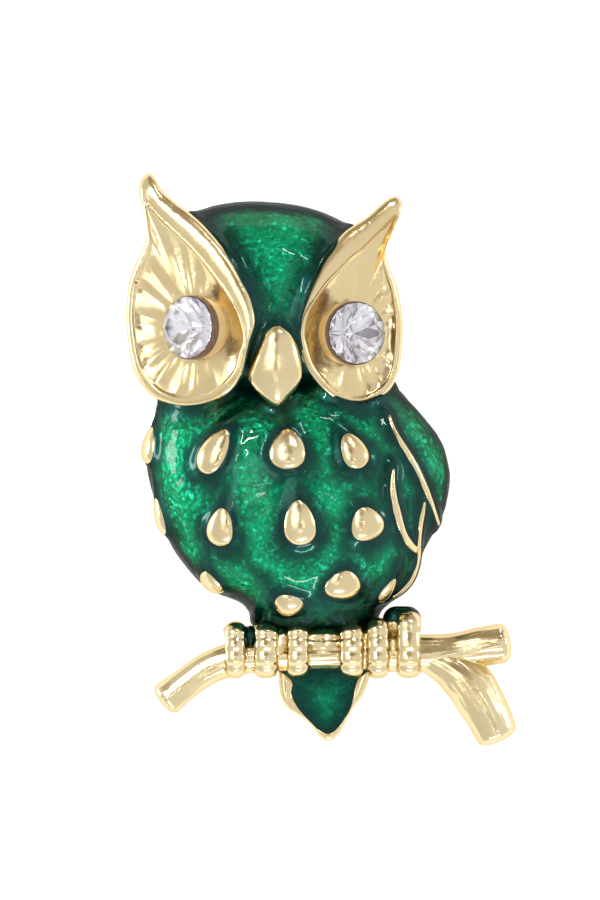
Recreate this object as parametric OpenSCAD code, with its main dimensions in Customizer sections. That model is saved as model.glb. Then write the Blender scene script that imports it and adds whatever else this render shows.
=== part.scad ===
// Owl brooch sitting on a branch: one cast, gilded shell with an open back, translucent
// enamel set flush between its raised parts, two cut stones for eyes, and a pin on the back.
// Millimetres. Every piece is drawn flat first: x to the right, y towards the ears, z out of
// the face, with the shell's back rim at z = 0 and the body's centre at the origin. laid()
// then puts the brooch down as it lies on a table, on its pin and the tip of its tail.

/* [Body] */
// Width of the breast and the folded wing together
body_w = 23.7; // [21:0.1:27]
// Height of the body, from under the beak to the branch
body_h = 21.4; // [19:0.1:24]
// Height of the breast above the back rim
body_depth = 7.6; // [6.5:0.1:9]

/* [Head] */
// Width of the skull behind the eye dishes
head_w = 20.2; // [18.5:0.1:22]
// Height of the skull
head_h = 15.9; // [14.5:0.1:17.5]
// Height of the forehead above the back rim
head_depth = 7.2; // [6.2:0.1:8.4]
// How far the skull reaches down into the body
neck_overlap = 3.7; // [3:0.1:4.5]
// Lean of the skull towards the wing
head_lean = 2.5; // [0:0.5:5]

/* [Shell and enamel] */
// Thickness of the cast wall
wall = 1.0; // [0.8:0.05:1.3]
// Thickness of the enamel
enamel_t = 0.5; // [0.3:0.05:0.7]
// Thickness of the bare metal rim behind the enamel
rim_t = 0.8; // [0.5:0.05:1.2]
// Clearance between one piece and the next
gap = 0.04; // [0.02:0.01:0.08]

/* [Eye dishes] */
// Width of the left dish, as the owl is seen
left_dish_w = 10.0; // [9:0.1:11]
// Height of the left dish with its ear
left_dish_h = 17.8; // [16:0.1:19.5]
// Width of the right dish
right_dish_w = 8.1; // [7.3:0.1:9]
// Height of the right dish with its ear
right_dish_h = 16.1; // [14.5:0.1:17.7]
// Angle at which a dish faces away from the beak
dish_tilt = 24; // [18:1:28]
// Thickness of a dish at its rim
dish_t = 1.9; // [1.6:0.1:2.3]
// Depth of a dish below its rim
dish_hollow = 0.7; // [0.5:0.05:0.9]
// Height of the dish rims above the skull at the stones
dish_lift = 0.2; // [0:0.05:0.5]
// Depth of the feather grooves in a dish
ray_depth = 0.15; // [0.05:0.01:0.2]
// Radius of the rounded shoulder of a brow
brow_r = 0.5; // [0.35:0.05:0.6]

/* [Eye stones] */
// Diameter of a stone at its girdle
stone_d = 4.7; // [4:0.1:5.2]
// Diameter of the flat table
table_d = 2.7; // [2.2:0.1:3]
// Height from the girdle to the table
crown_h = 0.95; // [0.7:0.05:1.2]
// Depth from the girdle to the point
pavilion_h = 1.75; // [1.4:0.05:1.9]
// Thickness of the girdle
girdle_t = 0.15; // [0.1:0.05:0.25]
// Height of the girdle above the floor of the dish
stone_lift = 1.1; // [0.9:0.05:1.3]
// Angle at which the left stone faces away from the beak
left_stone_tilt = 38; // [20:1:42]
// Angle at which the right stone faces away from the beak
right_stone_tilt = 26; // [15:1:35]
// Thickness of the cup's wall round a stone
cup_wall = 0.12; // [0.08:0.02:0.25]

/* [Beak] */
// Width of the beak
beak_w = 4.1; // [3.5:0.1:4.6]
// Height of the beak
beak_h = 6.2; // [5.4:0.1:6.8]
// How far the beak stands out of the face
beak_out = 2.9; // [2.3:0.1:3.5]

/* [Raised drops and ribs] */
// Width of a full-size drop on the breast
drop_w = 2.6; // [2.2:0.1:3]
// Height of a drop above the enamel
drop_rise = 0.6; // [0.4:0.05:0.8]
// Width of a wing rib at its middle
rib_w = 0.8; // [0.65:0.05:1]
// Height of a rib above the enamel
rib_rise = 0.18; // [0.1:0.02:0.3]

/* [Branch and feet] */
// Length of the branch from end to end
branch_l = 27.7; // [25:0.1:31]
// Diameter of the branch under the feet
branch_d = 2.8; // [2.4:0.1:3.2]
// Height of the branch's centre above the back rim
branch_z = 2.1; // [1.9:0.1:2.4]
// Width of a toe
toe_w = 1.5; // [1.2:0.1:1.8]
// Thickness of a toe over the branch
toe_t = 0.55; // [0.4:0.05:0.7]

/* [Tail] */
// Width of the tail at the branch
tail_w = 6.9; // [6:0.1:7.8]
// Length of the tail below the middle of the branch
tail_h = 6.9; // [6:0.1:7.8]
// Thickness of the tail without its enamel
tail_t = 1.9; // [1.6:0.1:2.2]

/* [Pin] */
// Height of the pin above the body's centre
pin_up = 7.4; // [6.8:0.1:8]
// Length of the bar that carries the pin
bar_l = 15.6; // [14:0.1:17]
// Width of the bar
bar_w = 3.2; // [2.8:0.1:3.8]
// Thickness of the bar
bar_t = 0.8; // [0.6:0.05:1]
// Depth of the bar's seat inside the back rim
bar_sunk = 1.2; // [0.9:0.1:1.5]
// Diameter of the pin's wire
wire_d = 0.9; // [0.7:0.05:1.1]
// Height of the wire's centre behind the bar
wire_off = 2.1; // [1.8:0.1:2.6]
// Diameter of the hinge barrel and of the catch
knuckle_d = 2.2; // [1.9:0.1:2.6]
// Length of the hinge barrel and of the catch
knuckle_l = 2.4; // [2:0.1:3]

/* [Hidden] */

gilt = [0.90, 0.78, 0.50];
green = [0.02, 0.42, 0.24];
dark_green = [0.03, 0.27, 0.20];
crystal = [0.90, 0.90, 0.96];

// Steps between two rows of a table that is smoothed
loop_steps = 2;
// Power of the domes: 2 is an ellipse, more is fuller
dome_power = 2.3;
// Power of the skull's outline
head_power = 2.2;
// Shares of the outline at which a dome's rings lie, from its foot inwards
DOME_LEVELS = [1, 0.98, 0.925, 0.82, 0.65, 0.39];
// The same for the hollow behind a dome
HOLLOW_LEVELS = [1, 0.96, 0.84, 0.55];
// Half width and half height of the plain oval that the body's rings turn into further in
BELLY = [0.455, 0.485];

// Outline of the body. Columns: across as a share of body_w, up as a share of body_h.
BODY = [
    [ 0.497,  0.068], [ 0.486,  0.145], [ 0.468,  0.199], [ 0.435,  0.254], [ 0.371,  0.335],
    [ 0.314,  0.397], [ 0.160,  0.478], [ 0.000,  0.490], [-0.216,  0.479], [-0.385,  0.418],
    [-0.453,  0.329], [-0.476,  0.261], [-0.491,  0.186], [-0.492,  0.125], [-0.480,  0.061],
    [-0.463, -0.011], [-0.449, -0.078], [-0.423, -0.145], [-0.378, -0.225], [-0.323, -0.297],
    [-0.268, -0.342], [-0.190, -0.375], [-0.158, -0.408], [-0.145, -0.450], [-0.094, -0.486],
    [ 0.000, -0.500], [ 0.155, -0.500], [ 0.232, -0.465], [ 0.274, -0.410], [ 0.307, -0.378],
    [ 0.345, -0.351], [ 0.371, -0.323], [ 0.390, -0.288], [ 0.400, -0.250], [ 0.410, -0.198],
    [ 0.438, -0.142], [ 0.466, -0.086], [ 0.486, -0.020]];

// Outline and crest of the left dish about its stone. Columns: outward and upward shares of
// the outline, then of the crest, of left_dish_w and left_dish_h.
LEFT_DISH = [
    [ 0.474,  0.056,  0.444,  0.056], [ 0.459,  0.172,  0.425,  0.168],
    [ 0.421,  0.249,  0.382,  0.241], [ 0.360,  0.327,  0.325,  0.318],
    [ 0.317,  0.391,  0.298,  0.378], [ 0.321,  0.447,  0.310,  0.438],
    [ 0.348,  0.511,  0.324,  0.500], [ 0.375,  0.580,  0.329,  0.525],
    [ 0.371,  0.623,  0.321,  0.538], [ 0.345,  0.651,  0.304,  0.533],
    [ 0.298,  0.666,  0.282,  0.516], [ 0.252,  0.647,  0.243,  0.492],
    [ 0.195,  0.593,  0.191,  0.460], [ 0.092,  0.537,  0.115,  0.421],
    [-0.008,  0.496,  0.023,  0.374], [-0.122,  0.438, -0.069,  0.318],
    [-0.237,  0.365, -0.153,  0.262], [-0.344,  0.284, -0.245,  0.193],
    [-0.421,  0.202, -0.321,  0.129], [-0.486,  0.114, -0.382,  0.069],
    [-0.516,  0.020, -0.432, -0.014], [-0.478, -0.055, -0.436, -0.078],
    [-0.451, -0.115, -0.409, -0.120], [-0.413, -0.202, -0.375, -0.189],
    [-0.337, -0.271, -0.291, -0.245], [-0.222, -0.309, -0.199, -0.286],
    [-0.092, -0.331, -0.076, -0.307], [ 0.038, -0.335,  0.031, -0.312],
    [ 0.153, -0.322,  0.130, -0.301], [ 0.275, -0.292,  0.237, -0.271],
    [ 0.367, -0.234,  0.325, -0.219], [ 0.428, -0.159,  0.390, -0.150],
    [ 0.462, -0.047,  0.428, -0.043]];

// The same for the right dish, as shares of right_dish_w and right_dish_h.
RIGHT_DISH = [
    [ 0.434,  0.017,  0.392,  0.017], [ 0.425,  0.102,  0.383,  0.102],
    [ 0.387,  0.216,  0.345,  0.211], [ 0.326,  0.297,  0.293,  0.287],
    [ 0.279,  0.363,  0.260,  0.349], [ 0.279,  0.411,  0.270,  0.400],
    [ 0.321,  0.463,  0.305,  0.457], [ 0.378,  0.525,  0.358,  0.518],
    [ 0.425,  0.590,  0.388,  0.555], [ 0.425,  0.634,  0.388,  0.568],
    [ 0.378,  0.655,  0.365,  0.562], [ 0.302,  0.644,  0.321,  0.540],
    [ 0.208,  0.606,  0.255,  0.506], [ 0.094,  0.554,  0.151,  0.454],
    [-0.009,  0.520,  0.057,  0.406], [-0.123,  0.478, -0.057,  0.359],
    [-0.246,  0.406, -0.179,  0.297], [-0.359,  0.330, -0.293,  0.235],
    [-0.444,  0.235, -0.397,  0.159], [-0.510,  0.135, -0.468,  0.097],
    [-0.548,  0.055, -0.505,  0.036], [-0.550, -0.017, -0.515, -0.021],
    [-0.519, -0.097, -0.482, -0.088], [-0.463, -0.178, -0.430, -0.159],
    [-0.359, -0.249, -0.331, -0.226], [-0.236, -0.306, -0.217, -0.280],
    [-0.104, -0.337, -0.094, -0.311], [ 0.047, -0.344,  0.043, -0.318],
    [ 0.189, -0.318,  0.165, -0.295], [ 0.302, -0.273,  0.269, -0.254],
    [ 0.373, -0.211,  0.335, -0.200], [ 0.416, -0.126,  0.373, -0.119]];

// Rows of both dish tables that run down the brow, from the ear to the beak
BROW_ROWS = [12:2:20];

// Outline of the beak. Columns: across as a share of beak_w, up as a share of beak_h.
BEAK = [
    [ 0.489, -0.119], [ 0.472,  0.071], [ 0.383,  0.285], [ 0.230,  0.435], [ 0.028,  0.500],
    [-0.159,  0.440], [-0.285,  0.270], [-0.410,  0.080], [-0.500, -0.085], [-0.448, -0.229],
    [-0.215, -0.400], [ 0.052, -0.500], [ 0.262, -0.366], [ 0.420, -0.240]];

// Drops on the breast. Columns: across as a share of body_w, up as a share of body_h, width
// and length as shares of drop_w, and the lean of the upper end to the right in degrees.
DROPS = [
    [-0.474,  0.186, 0.85, 1.05,   0],
    [-0.264,  0.165, 0.90, 1.38,  30],
    [-0.030,  0.172, 1.08, 1.18,   0],
    [ 0.180,  0.166, 0.85, 1.10, -22],
    [-0.440, -0.062, 0.70, 1.15,  12],
    [-0.244, -0.104, 0.88, 1.12,  15],
    [ 0.008, -0.088, 0.98, 1.30,  -6],
    [ 0.222, -0.092, 1.06, 1.00, -25],
    [-0.276, -0.300, 0.85, 0.90,  20],
    [ 0.148, -0.308, 1.10, 0.92,   0],
    [ 0.288, -0.330, 0.50, 0.95,   5],
    [-0.030, -0.378, 0.90, 0.82, -35]];

// Wing ribs on the body. Columns: across and up as shares of body_w and body_h, and the width
// as a share of rib_w.
OUTER_RIB = [
    [0.289,  0.296, 0.32], [0.309,  0.235, 0.70], [0.337,  0.182, 0.89], [0.373,  0.117, 0.96],
    [0.403,  0.048, 0.96], [0.425, -0.012, 0.83], [0.441, -0.062, 0.64], [0.454, -0.102, 0.45]];
INNER_RIB = [
    [0.307,  0.106, 0.38], [0.304,  0.056, 0.70], [0.308,  0.002, 0.96], [0.319, -0.056, 1.10],
    [0.334, -0.117, 1.21], [0.360, -0.168, 1.15], [0.385, -0.192, 0.89]];
FORKED_RIB = [
    [0.405, -0.012, 0.38], [0.400, -0.054, 0.77], [0.393, -0.100, 0.83], [0.388, -0.157, 0.89],
    [0.386, -0.211, 1.02], [0.378, -0.257, 1.02], [0.362, -0.298, 0.96], [0.334, -0.332, 0.83],
    [0.300, -0.357, 0.57]];

// Branch and its twigs about the middle of the branch. Columns: across and up as shares of
// branch_l, and the radius as a share of branch_d.
MAIN_BRANCH = [
    [-0.464, -0.128, 0.48], [-0.425, -0.098, 0.44], [-0.359, -0.050, 0.44],
    [-0.287, -0.023, 0.46], [-0.185, -0.007, 0.48], [-0.047,  0.000, 0.51],
    [ 0.083, -0.001, 0.51], [ 0.193, -0.006, 0.52], [ 0.262, -0.004, 0.51],
    [ 0.331,  0.003, 0.48], [ 0.400,  0.013, 0.53], [ 0.461,  0.023, 0.55]];
LOWER_TWIG = [
    [ 0.240, -0.010, 0.40], [ 0.282, -0.026, 0.47], [ 0.334, -0.054, 0.60],
    [ 0.376, -0.095, 0.66], [ 0.405, -0.144, 0.65], [ 0.428, -0.184, 0.62],
    [ 0.446, -0.224, 0.58]];

// Toes over the branch. Columns: across as a share of body_w, width as a share of toe_w, and
// how much higher the upper knuckle stands, as a share of branch_d.
TOES = [
    [-0.200, 1.05, 0.02], [-0.101, 1.20, 0.00], [ 0.003, 1.10, 0.00],
    [ 0.176, 1.20, 0.00], [ 0.262, 1.10, 0.12], [ 0.361, 1.20, 0.30]];
// The thick knuckle of the right foot: its two ends across as shares of body_w, its height
// above the branch's centre and its radius as shares of branch_d
HEEL = [0.322, 0.358, 0.80, 0.36];

// Outline of the tail below the branch's middle. Columns: across as a share of tail_w, down
// as a share of tail_h.
TAIL = [
    [ 0.493, -0.000], [ 0.504, -0.204], [ 0.450, -0.392], [ 0.400, -0.502], [ 0.316, -0.613],
    [ 0.237, -0.754], [ 0.150, -0.911], [ 0.028, -1.000], [-0.083, -0.933], [-0.185, -0.800],
    [-0.325, -0.699], [-0.432, -0.624], [-0.509, -0.480], [-0.526, -0.204], [-0.505, -0.000]];
// Outline of the tail's enamel, in the same columns.
TAIL_FIELD = [
    [ 0.449, -0.149], [ 0.390, -0.348], [ 0.305, -0.525], [ 0.216, -0.689], [ 0.118, -0.850],
    [ 0.028, -0.910], [-0.067, -0.850], [-0.161, -0.734], [-0.283, -0.613], [-0.383, -0.414],
    [-0.455, -0.149]];

// Where things lie, worked out from the sizes above
head_x = -0.116 * body_w;
head_y = max([for (row = BODY) row[1]]) * body_h + head_h / 2 - neck_overlap;
stone_at = [
    [head_x - 0.277 * head_w, head_y - 0.114 * head_h],
    [head_x + 0.363 * head_w, head_y - 0.140 * head_h]];
stone_tilt = [left_stone_tilt, right_stone_tilt];
beak_at = [head_x + 0.055 * head_w, head_y - 0.300 * head_h];
body_bottom = min([for (row = BODY) row[1]]) * body_h;
branch_at = [0.123 * body_w, body_bottom - 0.42 * branch_d];
tail_at = [0.094 * body_w, branch_at.y];
pin_at = [-0.035 * body_w, pin_up];
bar_z = bar_sunk - bar_t;
wire_z = bar_z - wire_off;

// A point of a closed smooth curve through rows, at share f of the way from row i to the next
function curve_at(rows, i, f) =
    let (n = len(rows), a = rows[(i + n - 1) % n], b = rows[i % n], c = rows[(i + 1) % n],
         d = rows[(i + 2) % n])
    0.5 * (2 * b + (c - a) * f + (2 * a - 5 * b + 4 * c - d) * f * f
           + (3 * b - a - 3 * c + d) * f * f * f);

function smooth_loop(rows, steps) =
    [for (i = [0:len(rows) - 1]) for (j = [0:steps - 1]) curve_at(rows, i, j / steps)];

function scaled(rows, w, h) = [for (r = rows) [r[0] * w, r[1] * h]];
function inset(loop, d) = [for (p = loop) p * (1 - d / norm(p))];
function unit(v) = v / norm(v);
function power(v, e) = sign(v) * pow(abs(v), e);

body_loop = scaled(BODY, body_w, body_h);
body_belly = [BELLY[0] * body_w, BELLY[1] * body_h];
// The skull's outline is a full ellipse, leaning a little
head_sides = 36;
head_loop = [for (i = [0:head_sides - 1]) let (a = i * 360 / head_sides,
        x = head_w / 2 * power(cos(a), 2 / head_power),
        y = head_h / 2 * power(sin(a), 2 / head_power))
    [x * cos(head_lean) + y * sin(head_lean), y * cos(head_lean) - x * sin(head_lean)]];
head_belly = [head_w / 2, head_h / 2];

// Height of a dome, as a share of its depth, at a share s of the way out to its foot
function dome_share(s) = s >= 1 ? 0 : sqrt(1 - pow(s, dome_power));

// Distance from a loop's centre to the loop in the direction of p
function reach(loop, p) =
    let (turn = function (q) (atan2(q.y, q.x) + 360) % 360,
         pairs = [for (q = loop) [turn(q), norm(q)]],
         first = min([for (q = pairs) q[0]]), last = max([for (q = pairs) q[0]]),
         wrap = [for (q = pairs) if (q[0] == last) [q[0] - 360, q[1]]],
         more = [for (q = pairs) if (q[0] == first) [q[0] + 360, q[1]]])
    lookup(turn(p), concat(wrap, pairs, more));

// Radius of the plain oval with half widths belly in the direction of p
function oval(belly, p) = 1 / norm([p.x / belly.x, p.y / belly.y] / norm(p));
// A dome's ring at share s turns from the outline into the oval towards the middle
function ring_reach(edge, round, s) = s * (edge * s * s + round * (1 - s * s));
function ring_share(edge, round, r, s = 1, tries = 6) =
    tries == 0 ? s : ring_share(edge, round, r, r / (edge * s * s + round * (1 - s * s)), tries - 1);
function dome_z(loop, belly, depth, p) =
    norm(p) < 0.01 ? depth : depth * dome_share(min(1, ring_share(reach(loop, p), oval(belly, p), norm(p))));
function body_z(p) = dome_z(body_loop, body_belly, body_depth, p);
function head_z(p) = dome_z(head_loop, head_belly, head_depth, p - [head_x, head_y]);

// The direction in which the body's surface faces at p
function body_normal(p) =
    let (d = 0.15, zx = (body_z(p + [d, 0]) - body_z(p - [d, 0])) / (2 * d),
         zy = (body_z(p + [0, d]) - body_z(p - [0, d])) / (2 * d))
    unit([-zx, -zy, 1]);

// Closed skin over a stack of loops, with a point at each end
module skin(first, rings, last) {
    n = len(rings[0]);
    m = len(rings);
    points = concat([first], [for (r = rings) each r], [last]);
    foot = [for (j = [0:n - 1]) [0, 1 + j, 1 + (j + 1) % n]];
    sides = [for (i = [0:m - 2]) for (j = [0:n - 1])
        let (a = 1 + i * n + j, b = 1 + i * n + (j + 1) % n) each [[a, a + n, b + n], [a, b + n, b]]];
    top = [for (j = [0:n - 1]) [1 + m * n, 1 + (m - 1) * n + (j + 1) % n, 1 + (m - 1) * n + j]];
    polyhedron(points = points, faces = concat(foot, sides, top));
}

// Solid dome over a loop, its foot carried down to z = -sink
module dome(loop, belly, depth, sink = 0, levels = DOME_LEVELS) {
    foot = sink > 0 ? [[for (p = loop) [p.x, p.y, -sink]]] : [];
    rings = [for (s = levels) [for (p = loop)
        let (q = unit(p) * ring_reach(norm(p), oval(belly, p), s)) [q.x, q.y, depth * dome_share(s)]]];
    skin([0, 0, -sink], concat(foot, rings), [0, 0, depth]);
}

// The body's and the skull's domes, smaller by d all round
module body_dome(d = 0, sink = 0, levels = DOME_LEVELS) {
    dome(inset(body_loop, d), body_belly - [d, d], body_depth - d, sink, levels);
}

module head_dome(d = 0, sink = 0, levels = DOME_LEVELS) {
    translate([head_x, head_y, 0])
        dome(inset(head_loop, d), head_belly - [d, d], head_depth - d, sink, levels);
}

// Round or oval tube along points. Each ring is across * half widths and up * half heights.
module tube(points, across, up, widths, heights, sides) {
    n = len(points);
    rings = [for (i = [0:n - 1]) [for (k = [0:sides - 1]) let (a = 360 * (k + 0.3) / sides)
        points[i] + across[i] * widths[i] * cos(a) + up[i] * heights[i] * sin(a)]];
    skin(points[0], rings, points[n - 1]);
}

// Tangent of a list of points at its place i
function tangent(points, i) =
    unit(points[min(i + 1, len(points) - 1)] - points[max(i - 1, 0)]);

// The plane through a dish's crest, in the dish's own frame: x outwards, y up
function dish_plane(x) = -x * tan(dish_tilt);
function dish_z(side) = head_z(stone_at[side]) + dish_lift;
function dish_rows(side) =
    let (rows = side == 0 ? LEFT_DISH : RIGHT_DISH, w = side == 0 ? left_dish_w : right_dish_w,
         h = side == 0 ? left_dish_h : right_dish_h)
    [for (r = rows) [r[0] * w, r[1] * h, r[2] * w, r[3] * h]];
function dish_outline(side) = [for (r = dish_rows(side)) [r[0], r[1]]];

// Rings of a dish in its own frame, from its back to the seat of its stone. The band between
// outline and crest slopes outwards, and every other ray of the floor lies deeper.
dish_seat_d = stone_d + 0.3;
function seat_at(side) = [-stone_lift * sin(stone_tilt[side]), 0];
function dish_rings(side) =
    let (rows = dish_rows(side), n = len(rows), o = seat_at(side),
         rim = [for (r = rows) [r[0], r[1]]], crest = [for (r = rows) [r[2], r[3]]],
         seat = [for (c = crest) o + unit(c - o) * dish_seat_d / 2],
         fall = [for (j = [0:n - 1]) norm(rim[j] - crest[j])],
         ray = [1, -1],
         ring = function (at, drop) [for (j = [0:n - 1])
             let (p = at(j)) [p.x, p.y, dish_plane(p.x) - drop(j)]])
    [ring(function (j) seat[j], function (j) dish_t + 0.04),
     ring(function (j) 0.96 * crest[j], function (j) dish_t),
     ring(function (j) rim[j], function (j) 0.2 + 0.35 * fall[j] + 0.3 * dish_t),
     ring(function (j) rim[j], function (j) 0.2 + 0.35 * fall[j]),
     ring(function (j) 0.45 * rim[j] + 0.55 * crest[j], function (j) 0.02 + 0.10 * fall[j]),
     ring(function (j) crest[j], function (j) 0),
     ring(function (j) 0.87 * crest[j] + 0.13 * seat[j], function (j) 0.8 * dish_hollow),
     ring(function (j) 0.4 * crest[j] + 0.6 * seat[j],
          function (j) dish_hollow + ray_depth * ray[j % 2]),
     ring(function (j) seat[j], function (j) dish_hollow)];

module at_stone(side) {
    translate([stone_at[side].x, stone_at[side].y, dish_z(side)])
        mirror([side == 0 ? 1 : 0, 0, 0])
            children();
}

module dish(side) {
    o = seat_at(side);
    at_stone(side)
        skin([o.x, 0, dish_plane(o.x) - dish_t - 0.06], dish_rings(side),
             [o.x, 0, dish_plane(o.x) - dish_hollow]);
}

// Room in front of a dish, where the skull behind it is cut away
module dish_room(side) {
    loop = [for (p = dish_outline(side)) p * (1 - 0.35 / norm(p))];
    at_stone(side)
        skin([0, 0, -dish_t / 2],
             [[for (p = loop) [p.x, p.y, dish_plane(p.x) - dish_t / 2]],
              [for (p = loop) [p.x, p.y, head_depth]]],
             [0, 0, head_depth]);
}

// The dish's outline right through the shell, which the enamel keeps clear of
module dish_prism(side) {
    at_stone(side) translate([0, 0, -3 * head_depth]) linear_extrude(5 * head_depth)
        offset(delta = gap) polygon(dish_outline(side));
}

// Rounded shoulder of a brow: a bead that follows the outline from the ear to the beak
module brow(side, grow = 0) {
    rows = side == 0 ? LEFT_DISH : RIGHT_DISH;
    w = side == 0 ? left_dish_w : right_dish_w;
    h = side == 0 ? left_dish_h : right_dish_h;
    bead = [for (i = BROW_ROWS) let (p = [rows[i][0] * w, rows[i][1] * h],
                                     c = [rows[i][2] * w, rows[i][3] * h],
                                     q = p + unit(c - p) * 1.05 * brow_r)
        [q.x, q.y, dish_plane(q.x) - 0.15 - 0.3 * norm(p - c) - 0.75 * brow_r]];
    at_stone(side)
        for (i = [0:len(bead) - 2])
            hull() {
                translate(bead[i]) sphere(brow_r + grow, $fn = 8);
                translate(bead[i + 1]) sphere(brow_r + grow, $fn = 8);
            }
}

// Cut stone about the middle of its girdle: an eight-sided table over sixteen girdle facets
module cut_stone(grow = 0) {
    flat = 0.02;
    hull() {
        translate([0, 0, girdle_t / 2 + crown_h + grow - flat])
            cylinder(h = flat, d = table_d + 2 * grow, $fn = 8);
        translate([0, 0, -girdle_t / 2 - grow])
            cylinder(h = girdle_t + 2 * grow, d = stone_d + 2 * grow, $fn = 16);
        translate([0, 0, -girdle_t / 2 - 0.62 * pavilion_h - grow])
            cylinder(h = flat, d = 0.5 * stone_d + 2 * grow, $fn = 8);
        translate([0, 0, -girdle_t / 2 - pavilion_h - grow])
            cylinder(h = flat, d = 0.12 * stone_d, $fn = 8);
    }
}

// The middle of a girdle, above the foot of the stone's axis in the dish's floor
module at_girdle(side) {
    t = stone_tilt[side];
    at_stone(side)
        translate([0, 0, stone_lift * (sin(t) * tan(dish_tilt) + cos(t)) - dish_hollow])
            rotate([0, t, 0])
                children();
}

module stone(side, grow = 0) {
    at_girdle(side) rotate([0, 0, 22.5]) cut_stone(grow);
}

// Raised cup that holds a stone up to its girdle
module cup(side) {
    top = girdle_t / 2 + gap;
    at_girdle(side)
        translate([0, 0, -stone_lift - 0.5])
            cylinder(h = stone_lift + 0.5 - top, d = stone_d + 2 * cup_wall, $fn = 18);
}

// Beak: a drop-shaped dome whose foot rises towards the forehead
beak_loop = smooth_loop(scaled(BEAK, beak_w, beak_h), loop_steps);
beak_rise = 0.3;
beak_foot = head_z(beak_at) - 0.7;

module beak(grow = 0) {
    loop = inset(beak_loop, -grow);
    top = beak_out + 0.6 + grow;
    sunk = [for (p = loop) [p.x, p.y, beak_rise * p.y - 1.5]];
    rings = [for (s = DOME_LEVELS)
        [for (p = loop) [p.x * s, p.y * s, beak_rise * p.y * s + top * dome_share(s)]]];
    translate([beak_at.x, beak_at.y, beak_foot]) skin([0, 0, -1.5], concat([sunk], rings), [0, 0, top]);
}

// One drop on the breast: wide below, narrow above, standing on the surface it rises from
module drop(row, grow = 0) {
    at = [row[0] * body_w, row[1] * body_h];
    w = row[2] * drop_w;
    l = row[3] * drop_w;
    r = (w * w / 4 + drop_rise * drop_rise) / (2 * drop_rise);
    tip_r = 0.72 * r;
    out = body_normal(at);
    lean = [sin(row[4]), cos(row[4]), 0];
    along = unit(lean - out * (lean * out));
    foot = [at.x, at.y, body_z(at)] + out * (drop_rise - r);
    span = max(l - w, 0.15);
    // A drop that is too small to reach the metal under the enamel gets a deeper root
    root = enamel_t + 0.3 - (2 * r - drop_rise);
    hull() {
        if (root > 0)
            translate(foot - out * root) sphere(r + grow, $fn = 12);
        translate(foot - along * span / 2) sphere(r + grow, $fn = 12);
        translate(foot + along * span / 2 + out * (r - tip_r - 0.1)) sphere(tip_r + grow, $fn = 12);
    }
}

module drops(grow = 0) {
    for (row = DROPS)
        drop(row, grow);
}

// One rib of the wing, an oval wire laid along the body's surface
module rib(rows, grow = 0) {
    path = [for (r = rows) [r[0] * body_w, r[1] * body_h, r[2] * rib_w / 2]];
    up = [for (p = path) body_normal([p[0], p[1]])];
    half_h = (enamel_t + rib_rise + 0.35) / 2;
    middle = [for (i = [0:len(path) - 1])
        [path[i][0], path[i][1], body_z([path[i][0], path[i][1]])] + up[i] * (rib_rise - half_h)];
    across = [for (i = [0:len(path) - 1]) unit(cross(up[i], tangent(middle, i)))];
    tube(middle, across, up, [for (p = path) p[2] + grow], [for (p = path) half_h + grow], 8);
}

module ribs(grow = 0) {
    rib(OUTER_RIB, grow);
    rib(INNER_RIB, grow);
    rib(FORKED_RIB, grow);
}

// A branch or twig: round rings along its path, with domed ends
branch_sides = 12;
function with_caps(path) =
    let (n = len(path), a = path[0], b = path[n - 1],
         back = unit([a[0] - path[1][0], a[1] - path[1][1], 0]),
         on = unit([b[0] - path[n - 2][0], b[1] - path[n - 2][1], 0]),
         cap = function (p, way, share, r) [p[0] + way.x * share * p[2], p[1] + way.y * share * p[2], r * p[2]])
    concat([cap(a, back, 0.45, 0.45), cap(a, back, 0.3, 0.8)], path,
           [cap(b, on, 0.3, 0.8), cap(b, on, 0.45, 0.45)]);
function branch_path(rows) =
    with_caps([for (r = rows)
        [branch_at.x + r[0] * branch_l, branch_at.y + r[1] * branch_l, r[2] * branch_d]]);

module twig(rows, grow = 0) {
    path = branch_path(rows);
    middle = [for (p = path) [p[0], p[1], branch_z]];
    up = [for (p = path) [0, 0, 1]];
    across = [for (i = [0:len(path) - 1]) cross([0, 0, 1], tangent(middle, i))];
    radii = [for (p = path) p[2] + grow];
    tube(middle, across, up, radii, radii, branch_sides);
}

// One toe: a half ring over the branch, from behind its top to under it
toe_angles = [125, 95, 65, 30, 0, -30, -60, -92];
// Thickness of a toe along those angles, as a share: knuckles are thicker
toe_shape = [0.8, 1.2, 1.15, 0.85, 1.0, 1.05, 0.85, 0.5];

module toe(row, grow = 0) {
    r = branch_d / 2 + 0.1;
    middle = [for (a = toe_angles)
        [row[0] * body_w, branch_at.y + r * sin(a) + row[2] * branch_d * max(0, 2 * sin(a) - 1),
         branch_z + r * cos(a)]];
    out = [for (a = toe_angles) [0, sin(a), cos(a)]];
    side = [for (a = toe_angles) [1, 0, 0]];
    tube(middle, side, out, [for (s = toe_shape) (0.75 + 0.25 * s) * row[1] * toe_w / 2 + grow],
         [for (s = toe_shape) s * toe_t + grow], 8);
}

module heel(grow = 0) {
    hull()
        for (x = [HEEL[0], HEEL[1]])
            translate([x * body_w, branch_at.y + HEEL[2] * branch_d, branch_z])
                sphere(HEEL[3] * branch_d + grow, $fn = 14);
}

module toes(grow = 0) {
    for (row = TOES)
        toe(row, grow);
    heel(grow);
}

// Web behind the feet that joins the body to the branch, and lower ones between outer toes.
// Columns: from and to across, and the height above the branch's centre.
WEBS = [
    [-0.11 * body_w, 0.26 * body_w, body_bottom + 1.3 - branch_at.y],
    [TOES[0][0] * body_w, TOES[1][0] * body_w, 0.55 * branch_d],
    [TOES[4][0] * body_w, TOES[5][0] * body_w, HEEL[2] * branch_d]];

module perch(grow = 0) {
    for (w = WEBS)
        translate([w[0] - grow, branch_at.y, 0.5 - grow])
            cube([w[1] - w[0] + 2 * grow, w[2] + grow, branch_z - 0.5 + 2 * grow]);
}

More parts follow.
